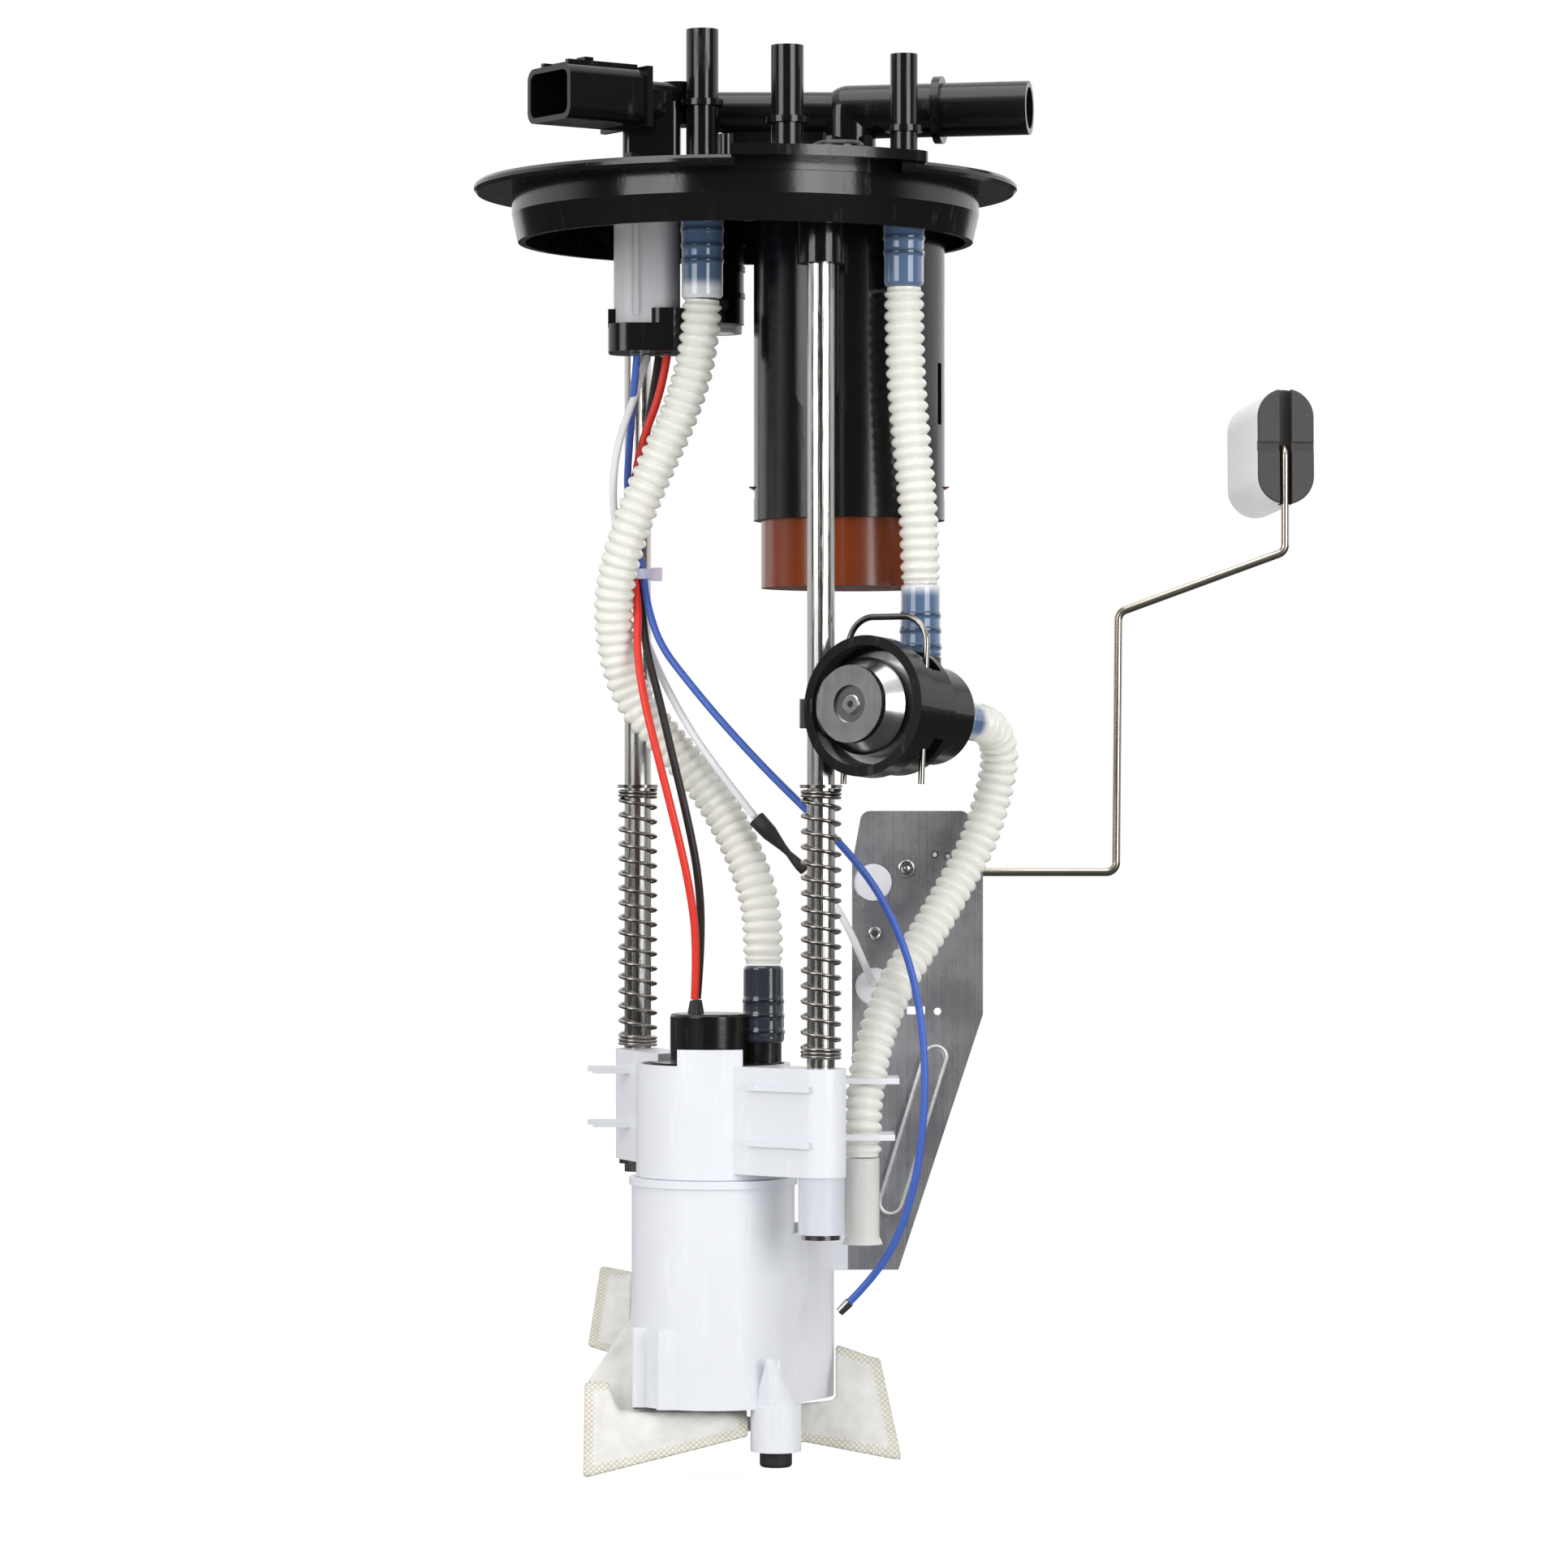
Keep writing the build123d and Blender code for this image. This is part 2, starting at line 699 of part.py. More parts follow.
def valve_housing():
    solid = bar(valve_radius, valve_bottom, 0, valve_at)
    # Long pocket rib down the front left
    pocket_middle = (pocket_top + pocket_bottom) / 2
    pocket_length = pocket_top - pocket_bottom
    side = Pos(valve_at[0], valve_at[1], pocket_middle) * Rot(0, 0, pocket_turn) * Rot(0, 90, 0)
    pocket = side * extrude(SlotOverall(pocket_length, pocket_width), valve_radius + 6)
    pocket &= bar(valve_radius + pocket_stand, valve_bottom, 0, valve_at)
    solid += pocket
    inner = cup_radius + running
    solid -= bar(inner, valve_bottom - 1, -valve_wall, valve_at)
    # Seat that the float's needle closes
    solid += pipe(vent_seat_radius, vent_seat_bore, needle_seat(), -valve_wall, valve_at)
    solid -= bar(vent_seat_bore, -valve_wall - 1, 1, valve_at)
    # Side window, and windows that the cup's hooks snap into
    window = block(0, valve_radius + 3, -window_width / 2, window_width / 2, window_bottom, window_top)
    solid -= Pos(valve_at[0], valve_at[1], 0) * Rot(0, 0, -20) * window
    for turn in (0, 180):
        half = hook_width / 2 + seat_gap
        hole = block(
            0, valve_radius + 3, -half, half,
            hook_low() - seat_gap, hook_low() + hook_height + seat_gap,
        )
        solid -= Pos(valve_at[0], valve_at[1], 0) * Rot(0, 0, turn) * hole
    return solid


def hook_low():
    return valve_bottom + cup_rise - hook_height - 2


def float_low():
    return cup_bottom + cup_floor + seat_gap


def needle_seat():
    """Lower face of the seat, which the needle reaches at the end of the float's travel."""
    return float_low() + float_height + needle_length + float_travel + seat_gap


def valve_cup():
    solid = bar(cup_radius, cup_bottom, valve_bottom + cup_rise, valve_at)
    solid -= bar(cup_radius - cup_wall, cup_bottom + cup_floor, 0, valve_at)
    for turn in range(0, 360, 60):
        hole = Pos(valve_at[0], valve_at[1], 0) * Rot(0, 0, turn + 15)
        solid -= bar(2.2, cup_bottom - 1, cup_bottom + cup_floor + 1, (15, 0), hole)
    for turn in (0, 180):
        start = cup_radius - cup_wall
        end = cup_radius + hook_reach
        face = make_face(
            Polyline(
                (start, hook_low()), (end, hook_low() + hook_height), (start, hook_low() + hook_height),
                close=True,
            )
        )
        hook = extrude(Plane.XZ * face, hook_width / 2, both=True)
        solid += Pos(valve_at[0], valve_at[1], 0) * Rot(0, 0, turn) * hook
    return solid


def valve_float():
    low = float_low()
    solid = bar(float_radius, low, low + float_height, valve_at)
    needle_low = low + float_height
    solid += bar(needle_radius, needle_low, needle_low + needle_length - 2, valve_at)
    tip = Pos(valve_at[0], valve_at[1], needle_low + needle_length - 1)
    solid += tip * Cone(needle_radius, needle_radius / 2, 2)
    for turn in range(0, 360, 60):
        groove = Pos(valve_at[0], valve_at[1], 0) * Rot(0, 0, turn)
        solid -= bar(1.5, low - 1, needle_low + 1, (float_radius, 0), groove)
    return solid


def regulator_frame():
    """Z along the regulator's axis towards its face, X to the right and Y up."""
    turn = math.radians(regulator_turn)
    tip = math.radians(regulator_tip)
    front = (-math.sin(turn) * math.cos(tip), -math.cos(turn) * math.cos(tip), math.sin(tip))
    right = (math.cos(turn), -math.sin(turn), 0)
    origin = (regulator_at[0], regulator_at[1], regulator_height)
    return Plane(origin=origin, x_dir=right, z_dir=front).location


def regulator_holder():
    frame = regulator_frame()
    solid = bar(drum_radius, drum_back, collar_start + 1, (0, 0), frame)
    solid += frame * Pos(0, 0, collar_start + 1) * Cone(drum_radius, collar_radius, 3)
    solid += bar(collar_radius, collar_start + 2, face_ring_start, (0, 0), frame)
    solid += bar(face_ring_radius, face_ring_start, face_ring_end, (0, 0), frame)
    # Clamp on the guide rod, and the inlet barb on top
    clamp = bar(
        clamp_radius, regulator_height - clamp_height / 2, regulator_height + clamp_height / 2, rod_right_at
    )
    solid += clamp
    inlet = Pos(regulator_at[0], regulator_at[1], 0)
    solid += barb((0, 0), regulator_height, inlet_top(), inlet)
    solid += bar(hose_end_outer(return_hose_diameter), regulator_height, inlet_foot(), regulator_at)
    # Outlet barb at the back
    solid += barb((0, 0), -drum_back, -drum_back + outlet_length - 2, frame * Rot(0, 180, 0))
    # The hollow for the regulator, open at the front
    solid -= bar(can_radius + 0.1, can_back(), face_ring_end + 1, (0, 0), frame)
    solid -= bar(can_flange_radius + 0.1, can_flange_start - 8, face_ring_end + 1, (0, 0), frame)
    solid -= bar(can_flange_radius + 1.2, can_flange_end + 0.4, face_ring_end + 1, (0, 0), frame)
    # Windows in the collar
    for i in range(collar_windows):
        turn = frame * Rot(0, 0, i * 360 / collar_windows - 40)
        window = block(
            0, collar_radius + 3, -4.2, 4.2, o_ring_at - 2.6, o_ring_at + 2.2, turn,
        )
        solid -= window - bar(can_flange_radius - 1, 0, 40, (0, 0), frame)
    # Slots for the legs of the wire clip
    for side in (-1, 1):
        x = side * clip_half_width
        slot = clip_wire + 0.3
        solid -= block(
            x - slot, x + slot, -collar_radius - 5, collar_radius + 5,
            clip_plane - slot, clip_plane + slot, frame,
        )
    # Channel for the rod, and the bores
    solid -= bar(rod_radius + press, regulator_height - 30, regulator_height + 30, rod_right_at)
    solid -= bar(barb_bore, can_front_of_inlet(), inlet_top() + 1, regulator_at)
    solid -= bar(barb_bore, drum_back - outlet_length - 1, can_back() + 1, (0, 0), frame)
    return solid


def hose_end_outer(diameter):
    return diameter / 2 + 0.3


def inlet_foot():
    """Top of the collar under the inlet's hose end."""
    return regulator_height + drum_radius + 2.2


def inlet_top():
    return inlet_foot() + inlet_length - 4


def can_back():
    return drum_back + 4


def can_front_of_inlet():
    return regulator_height + can_radius - 1


def pressure_regulator():
    frame = regulator_frame()
    body_start = clip_plane + clip_wire + 0.2
    neck = clip_half_width - clip_wire - 0.1
    solid = bar(neck, can_back() + 1.2, body_start, (0, 0), frame)
    solid += bar(can_radius, body_start, can_neck_start, (0, 0), frame)
    solid += bar(can_flange_radius, can_flange_start, can_flange_end, (0, 0), frame)
    shoulder = (can_neck_start + can_face_start) / 2
    depth = can_face_start - can_neck_start
    solid += frame * Pos(0, 0, shoulder) * Cone(can_radius, can_face_radius - 1.4, depth)
    solid += bar(can_face_radius, can_face_start, can_face_end, (0, 0), frame)
    solid -= bar(can_recess_radius, can_face_end - can_recess_depth, can_face_end + 1, (0, 0), frame)
    solid -= bar(can_hole_radius, can_face_end - 4, can_face_end, (0, 0), frame)
    # The flange clears the rod
    return solid - bar(rod_radius + seat_gap, regulator_height - 30, regulator_height + 30, rod_right_at)


def regulator_o_ring():
    ring = clip_half_width - clip_wire - 0.1 + o_ring_wire + press
    return regulator_frame() * Pos(0, 0, o_ring_at - 0.4) * Torus(ring, o_ring_wire)


def regulator_clip():
    """A bent wire with an arch on top and two straight legs."""
    half = clip_half_width
    frame = regulator_frame() * Pos(0, 0, clip_plane)
    points = [(-half, clip_leg), (-half, clip_top), (half, clip_top), (half, clip_leg)]
    path = frame * FilletPolyline(*points, radius=8)
    section = Plane(origin=path @ 0, z_dir=path % 0) * Circle(clip_wire)
    return sweep(section, path=path)


def pump_case():
    return pipe(pump_radius, pump_radius - pump_wall, pump_bottom, pump_top, pump_at)


def pump_top_cap():
    inner = pump_radius - pump_wall - press
    solid = bar(inner, pump_top - pump_cap_height, pump_top, pump_at)
    solid += bar(pump_radius, pump_top, pump_top + pump_cap_height, pump_at)
    solid += bar(tower_cap_radius, pump_top, tower_cap_top, tower_cap_at)
    solid = fillet(solid.edges().group_by(Axis.Z)[-1], 1.0)
    solid += bar(outlet_radius + 1.2, pump_top, outlet_seat(), outlet_at)
    solid += barb(outlet_at, outlet_seat() - 1, outlet_top)
    around = bar(hose_end_outer(supply_hose_diameter) + seat_gap, outlet_seat(), outlet_top, outlet_at)
    solid -= around - bar(barb_radius + barb_tooth, outlet_seat() - 1, outlet_top + 1, outlet_at)
    # Terminal wells and the bores
    for x, y, _ in (red_route[-1], black_route[-1]):
        solid -= bar(1.2, tower_cap_top - 6, tower_cap_top + 1, (x, y))
    solid -= bar(barb_bore, pump_top - 3, outlet_top + 1, outlet_at)
    solid -= bar(shaft_radius + running, pump_top - pump_cap_height - 1, pump_top - 1, pump_at)
    return solid


def outlet_seat():
    return outlet_top - 19.4


def brush_holder():
    low = armature_top() + commutator_height - 8
    high = low + 7
    inner = pump_radius - pump_wall - press
    solid = pipe(inner, commutator_radius + 1.2, low, high, pump_at)
    for side in (0, 180):
        slot = Pos(pump_at[0], pump_at[1], 0) * Rot(0, 0, side)
        solid -= block(0, brush_reach + running, -2.2 - running, 2.2 + running, low + 1, high - 1, slot)
    return solid


def pump_brushes():
    low = armature_top() + commutator_height - 8
    solid = Part()
    for side in (0, 180):
        slot = Pos(pump_at[0], pump_at[1], 0) * Rot(0, 0, side)
        bottom = low + 1 + running
        solid += block(commutator_radius + 0.1, brush_reach, -2.2, 2.2, bottom, low + 6 - running, slot)
    return solid


def pump_magnets():
    outer = pump_radius - pump_wall - press
    ring = pipe(outer, armature_radius + 0.6, pump_bottom + 12, armature_top() + 1, pump_at)
    solid = Part()
    for side in (0, 180):
        wedge = Pos(pump_at[0], pump_at[1], 0) * Rot(0, 0, side)
        half = block(0, outer + 1, -outer, outer, pump_bottom, pump_top, wedge)
        across = Pos(pump_at[0], pump_at[1], 0) * Rot(0, 0, 90)
        gap = block(-outer, outer, -3, 3, pump_bottom, pump_top, across)
        solid += (ring & half) - gap
    return solid


def armature_top():
    return pump_top - 32.0


def pump_armature():
    low = pump_bottom + 14
    high = armature_top()
    solid = bar(armature_radius, low, high, pump_at)
    for i in range(armature_slots):
        slot = Pos(pump_at[0], pump_at[1], 0) * Rot(0, 0, i * 360 / armature_slots)
        solid -= block(7, armature_radius + 1, -0.8, 0.8, low - 1, high + 1, slot)
    solid += bar(commutator_radius, high, high + commutator_height, pump_at)
    return solid - bar(shaft_radius + press, low - 1, high + commutator_height + 1, pump_at)


def pump_shaft():
    return bar(shaft_radius, pump_bottom + 2.5, pump_top - 2, pump_at)


def pump_impeller():
    low = pump_bottom + 4.5
    high = low + impeller_thickness
    solid = bar(impeller_radius, low, high, pump_at)
    for i in range(impeller_vanes):
        notch = Pos(pump_at[0], pump_at[1], 0) * Rot(0, 0, i * 360 / impeller_vanes)
        solid -= block(impeller_radius - 2, impeller_radius + 1, -0.7, 0.7, low - 1, high + 1, notch)
    return solid - bar(shaft_radius + press, low - 1, high + 1, pump_at)


def pump_inlet_body():
    inner = pump_radius - pump_wall - press
    solid = bar(inner, pump_bottom, pump_bottom + 12 - seat_gap, pump_at)
    solid += bar(pump_radius, pump_bottom - 3, pump_bottom, pump_at)
    solid += bar(inlet_radius, pump_bottom - inlet_depth, pump_bottom - 3, pump_at)
    # Chamber of the impeller, the shaft's lower bearing and the inlet bore
    room = 0.25
    low = pump_bottom + 4.5 - room
    solid -= bar(impeller_radius + room, low, low + impeller_thickness + 2 * room, pump_at)
    solid -= bar(shaft_radius + running, pump_bottom + 2.5 - running, pump_bottom + 13, pump_at)
    inlet = (pump_at[0] + 3.0, pump_at[1])
    solid -= bar(2.0, pump_bottom - inlet_depth - 1, low + 0.5, inlet)
    return solid


def pump_sleeve():
    outer = shell_radius - shell_wall - rib_stand - press
    return pipe(outer, pump_radius + press, holder_bottom + 2, pump_top - 1, pump_at)


def round_arm(start, end, radius, low, high):
    """A rounded bar of the shape between two upright cylinders."""
    edges = (Pos(*start) * Circle(radius)).edges() + (Pos(*end) * Circle(radius)).edges()
    return Pos(0, 0, low) * extrude(make_hull(edges), high - low)


def pump_holder():
    shell_bottom = throat_top + seat_gap
    solid = bar(shell_radius, shell_bottom, holder_top, shell_at)
    panel = bar(shell_radius, holder_top, holder_panel_top, shell_at)
    panel &= block(-19.6, -0.6, -60, shell_at[1], holder_top, holder_panel_top)
    solid += panel
    # Arms to the two guides on the rods
    right_root = (2.0, -25.0)
    left_root = (-20.0, 8.0)
    solid += round_arm(rod_right_at, right_root, guide_radius + 0.6, holder_bottom, holder_top)
    solid += round_arm(rod_left_at, left_root, guide_radius, holder_bottom, holder_top + 2)
    # Snap fingers on the front of the right arm
    for prong in prong_levels:
        level = prong - finger_drop
        band = round_arm(rod_right_at, right_root, guide_radius + 2.0, level - 1, level + 1)
        solid += band & block(0.5, 18.5, -60, -25, level - 1, level + 1)
    # Prongs that hold the drain hose on the right, and a cable on the left
    room = drain_hose_diameter / 2 + 0.6
    for level, (x, y) in zip(prong_levels, prong_hose_spots):
        half = prong_thickness / 2
        front = block(12.0, x + 9.4, y - room - 2.2, y - room, level - half, level + half)
        back = block(8.0, x + 9.4, y + room, y + room + 2.2, level - half, level + half)
        left = block(-48.0, rod_left_at[0], 39.0, 41.4, level - half, level + half)
        left_front = block(-46.0, -30.0, 27.0, 29.2, level - half, level + half)
        solid += front + back + left + left_front
    # Hollow for the pump, with ribs that grip its sleeve
    inner = shell_radius - shell_wall
    hollow = bar(inner, shell_bottom - 1, holder_panel_top + 1, shell_at)
    solid -= hollow
    outer = throat_inner() - 0.1
    solid += pipe(outer, outer - shell_wall, shell_bottom - 8, shell_bottom + 1, shell_at)
    for turn in range(30, 360, 60):
        rib = block(inner - rib_stand - 1.5, inner + 0.5, -1, 1, shell_bottom + 3, holder_top - 3)
        solid += Pos(shell_at[0], shell_at[1], 0) * Rot(0, 0, turn) * rib
    solid -= bar(sleeve_outer() + press, shell_bottom - 9, holder_panel_top + 1, pump_at)
    # Bores on the rods
    solid -= bar(rod_radius + running, holder_bottom - 1, holder_top + 5, rod_left_at)
    solid -= bar(rod_radius + running, holder_bottom - 1, holder_top + 5, rod_right_at)
    return solid


def lower_guide():
    """Sleeve under the right arm, which steadies the reservoir on the longer rod."""
    return pipe(guide_radius, rod_radius + running, guide_bottom_right, holder_bottom, rod_right_at)


def sleeve_outer():
    return shell_radius - shell_wall - rib_stand


def throat_inner():
    return throat_radius - canister_wall


def canister_outline(inset):
    """The plan of the canister: three round corners with straight walls between them."""
    circles = [
        Pos(*shell_at) * Circle(throat_radius - inset),
        Pos(*corner_right) * Circle(corner_right_radius - inset),
        Pos(*corner_back) * Circle(corner_back_radius - inset),
    ]
    edges = ShapeList()
    for circle in circles:
        edges += circle.edges()
    return make_hull(edges)


def reservoir_canister():
    height = canister_top - canister_bottom
    solid = Pos(0, 0, canister_bottom) * extrude(canister_outline(0), height)
    solid += bar(throat_radius, canister_top - 1, throat_top, shell_at)
    rim = bar(throat_radius + 0.8, throat_top - 2.2, throat_top, shell_at)
    solid += rim
    inside = Pos(0, 0, canister_bottom + canister_floor) * extrude(canister_outline(canister_wall), height)
    solid -= inside
    solid -= bar(throat_inner(), canister_bottom + canister_floor, throat_top + 1, shell_at)
    # Lugs on the front left, the leg with its gussets and the plate's rail
    front = shell_at[1]
    for x in lug_spots:
        reach = math.sqrt(throat_radius**2 - (x - shell_at[0]) ** 2)
        lug = rounded(
            x - lug_width / 2, x + lug_width / 2, front - reach - 1.6, front - reach + 3,
            canister_bottom, canister_bottom + lug_height, 1.2,
        )
        solid += lug - bar(throat_inner() + 0.4, canister_bottom + canister_floor, throat_top, shell_at)
    leg_top = canister_bottom + 1
    solid += bar(leg_radius, canister_bottom - leg_height, leg_top, leg_at)
    solid += gusset()
    solid += plate_rail()
    # Inlet hole and the drain windows in the floor
    solid -= bar(inlet_radius + neck_wall + seat_gap, canister_bottom - 1, canister_bottom + 5, pump_at)
    leg_bottom = canister_bottom - leg_height
    solid -= bar(foot_radius - 1.2, leg_bottom - 1, leg_bottom + 5, leg_at)
    return solid


def gusset():
    """A tapered rib that carries the leg's load up the wall."""
    x, y = leg_at
    outline = Polyline(
        (y - leg_radius, canister_bottom - leg_height + 5), (y - leg_radius, canister_bottom),
        (y + 2, canister_bottom + 14), (y + 2, canister_bottom - leg_height + 5), close=True,
    )
    rib = Pos(x, 0, 0) * extrude(Plane.YZ * make_face(outline), 1.2, both=True)
    foot = Pos(x, y, canister_bottom - 1) * Circle(leg_radius - 0.6)
    tip_y = shell_at[1] - throat_radius + 0.4
    tip = Pos(x + gusset_lean, tip_y, canister_bottom + gusset_height) * Circle(gusset_tip)
    hull = Pos(0, 0, canister_bottom) * extrude(canister_outline(canister_wall / 2), 30)
    return rib + loft([foot, tip]) - hull


def plate_rail():
    rail = block(
        corner_right[0] + 12, plate_foot_left + 3.0, plate_front - 2.2, plate_front + plate_thickness + 2.2,
        plate_bottom, rail_top,
    )
    room = running
    rail -= block(
        plate_foot_left - room, plate_foot_left + 10, plate_front - room,
        plate_front + plate_thickness + room, plate_bottom, rail_top + 1,
    )
    height = rail_top - canister_bottom + 1
    inside = Pos(0, 0, canister_bottom) * extrude(canister_outline(canister_wall), height)
    return rail - inside


def foot_bumper():
    low = canister_bottom - leg_height
    solid = bar(foot_radius, low - foot_depth, low, leg_at)
    solid += bar(foot_radius - 1.2 - press, low, low + 4, leg_at)
    return fillet(solid.edges().group_by(Axis.Z)[0], 1.0)


def strainer_neck():
    """Plastic neck on the pump's inlet, which carries the socks."""
    top = pump_bottom - 3.4
    outer = inlet_radius + neck_wall
    solid = pipe(outer, inlet_radius + press, canister_bottom - 1, top, pump_at)
    low = canister_bottom - sock_neck_height
    solid += pipe(sock_neck_radius, 2.5, low, canister_bottom - seat_gap, pump_at)
    return solid


def lobe(points, origin, up, corner):
    """A flat soft bag: its outline in a plane through X and the tilted up direction."""
    frame = Plane(origin=origin, x_dir=(1, 0, 0), z_dir=Vector(1, 0, 0).cross(Vector(*up)))
    outline = make_face(FilletPolyline(*points, radius=corner, close=True))
    return extrude(frame * outline, lobe_thickness / 2, both=True)


def strainer_bag():
    """Felt bag under the canister, with a lobe to the front left, back left and right."""
    middle = [(-42, 2), (-40, -8), (-32, -24), (-4, -24), (13, -8), (16, 0), (-8, 12), (-36, 12)]
    flat = make_face(FilletPolyline(*middle, radius=2.0, close=True))
    low = canister_bottom - sock_neck_height - lobe_thickness
    solid = Pos(0, 0, low) * extrude(flat, lobe_thickness - 0.1)
    front = [(-20.5, 16.0), (-11.0, 15.0), (-8.5, 4.0), (20.0, 4.0), (22.0, -4.5), (-23.0, -15.8)]
    solid += lobe(front, (-25.0, -25.0, -361.0), (0, 0.55, 0.83), 2.5)
    back = [(-7.0, 34.0), (5.2, 33.0), (5.4, -12.0), (-6.0, -13.5)]
    solid += lobe(back, (-40.0, 5.0, -340.0), (0, 0.82, 0.57), 2.5)
    right = [(-13.0, 4.5), (3.2, 6.5), (4.2, 24.0), (10.0, 26.0), (16.0, 18.0), (21.0, -10.0), (-12.0, -5.0)]
    solid += lobe(right, (25.0, -4.0, -364.0), (0, 0.42, 0.91), 2.0)
    # The fold that joins the back lobe to the middle
    solid += rounded(-46.0, -35.5, -8.0, -3.6, low + 1, -345.0, 1.5)
    return solid


def sender_plate():
    outline = [
        (plate_left + 2.9, plate_top), (plate_right - 5.1, plate_top), (plate_right, plate_top - 7.5),
        (plate_right, plate_waist), (plate_foot_right, plate_bottom), (plate_foot_left, plate_bottom),
        (plate_foot_left, plate_step - 2.5), (plate_left, plate_step), (plate_left, plate_top - 16),
    ]
    face = make_face(Polyline(*outline, close=True))
    face = fillet(face.vertices().sort_by(Axis.Y)[-2:], plate_corner)
    upright = Plane(origin=(0, plate_front, 0), x_dir=(1, 0, 0), z_dir=(0, -1, 0))
    solid = upright * extrude(face, -plate_thickness)
    frame = upright.location
    depth = plate_thickness + 1
    for x, z in plate_big_holes:
        solid -= bar(plate_hole_radius, -depth, 1, (x, z), frame)
    for x, z in plate_small_holes:
        solid -= bar(1.1, -depth, 1, (x, z), frame)
    for x, z in rivet_spots:
        solid -= bar(rivet_shank + press, -depth, 1, (x, z), frame)
    x, z = plate_window
    solid -= block(x - 2.7, x + 2.7, z - 1.2, z + 1.2, -depth, 1, frame)
    # Long pressed bead, raised to the front and hollow behind, parallel to the slanted edge
    bead = Pos(bead_at[0], bead_at[1], 0) * Rot(0, 0, bead_lean)
    raised = extrude(SlotOverall(bead_length, bead_width), bead_height)
    raised = fillet(raised.edges().group_by(Axis.Z)[-1], bead_height - 0.2)
    solid += frame * bead * raised
    wall = 2 * plate_thickness
    reach = depth + bead_height - plate_thickness
    hollow = extrude(SlotOverall(bead_length - wall, bead_width - wall), reach)
    solid -= frame * Pos(0, 0, -depth) * bead * hollow
    return solid


def back_of_plate():
    return plate_front + plate_thickness


def sender_housing():
    y0 = back_of_plate()
    y1 = y0 + sender_depth
    solid = block(sender_left, sender_right, y0, y1, sender_bottom, sender_top)
    solid = fillet(solid.edges().filter_by(Axis.Y), 2.5)
    solid -= block(
        sender_left + sender_wall, sender_right - sender_wall, y0 - 1, y1 - sender_wall,
        sender_bottom + sender_wall, sender_top - sender_wall,
    )
    for x, z in rivet_spots:
        solid += along_y(rivet_shank + 1.8, y0, y1 - sender_wall / 2, x, z)
    solid -= along_y(pivot_radius + running, y0 - 1, y1 + 1, *pivot_at)
    for x, z in rivet_spots:
        solid -= along_y(rivet_shank + press, y0 - 1, y1 + 1, x, z)
    return solid


def along_y(radius, y0, y1, x, z):
    return Pos(x, (y0 + y1) / 2, z) * Rot(90, 0, 0) * Cylinder(radius, y1 - y0)


def resistor_card():
    y0 = back_of_plate()
    x, z = pivot_at
    return block(x + 4, sender_right - sender_wall - seat_gap, y0, y0 + card_thickness, z - 13, z + 9)


def sender_rivets():
    y1 = back_of_plate() + sender_depth
    solid = Part()
    for x, z in rivet_spots:
        rivet = along_y(rivet_shank, plate_front, y1, x, z)
        head = along_y(rivet_radius, plate_front - 1.1, plate_front, x, z)
        head = fillet(head.edges().group_by(Axis.Y)[0], 0.6)
        solid += rivet + head
    return solid


def sender_terminal():
    x, y, z = white_tail_route[-1]
    floor = sender_bottom + sender_wall
    wall = back_of_plate() + sender_depth - sender_wall
    return block(x - 1.6, x + 1.6, y + 0.1, wall, floor, z + 1.6)


def arm_hub():
    y0 = hub_front()
    x, z = pivot_at
    solid = along_y(hub_radius, y0, y0 + hub_thickness, x, z)
    solid += block(x - 4, x + 4, y0, y0 + hub_thickness, z, arm_height)
    solid += block(x - 4, x + 13, y0, y0 + hub_thickness, arm_height - 2.6, arm_height + 2.6)
    solid += along_y(pivot_radius, back_of_plate() + 2.2, y0 + 1, x, z)
    hole = Pos(x, arm_y(), arm_height) * Rot(0, 90, 0) * Cylinder(arm_wire + press, 80)
    return solid - hole


def hub_front():
    return back_of_plate() + sender_depth + joint_gap


def arm_y():
    return hub_front() + hub_thickness / 2


def arm_wiper():
    """Spring blade on the pivot, which sweeps the resistor card."""
    x, z = pivot_at
    y0 = back_of_plate() + card_thickness + 1.6
    blade = block(x, x + wiper_length, y0, y0 + 0.4, z - 1.4, z + 1.4)
    blade += along_y(pivot_radius + 1.6, y0, y0 + 0.4, x, z)
    blade -= along_y(pivot_radius + press, y0 - 1, y0 + 1, x, z)
    blade += block(
        x + wiper_length - 2, x + wiper_length, back_of_plate() + card_thickness + 0.05, y0, z - 1.4, z + 1.4
    )
    return blade


def float_arm():
    y = arm_y()
    x, z = float_at
    points = [
        (pivot_at[0] - 3.5, y, arm_height), (arm_corner_x, y, arm_height),
        (arm_corner_x + 0.7, y, arm_upper), (x, y, arm_top_bend), (x, y, z),
        tuple(Vector(x, y, z) + float_axis() * float_length * 0.7),
    ]
    path = FilletPolyline(*points, radius=[arm_bend, arm_bend, arm_bend, arm_bend])
    section = Plane(origin=path @ 0, z_dir=path % 0) * Circle(arm_wire)
    return sweep(section, path=path)


def float_axis():
    """Along the float from its front, a little to the left and down."""
    yaw = math.radians(float_yaw)
    dip = math.radians(float_dip)
    return Vector(-math.sin(yaw) * math.cos(dip), math.cos(yaw) * math.cos(dip), -math.sin(dip))


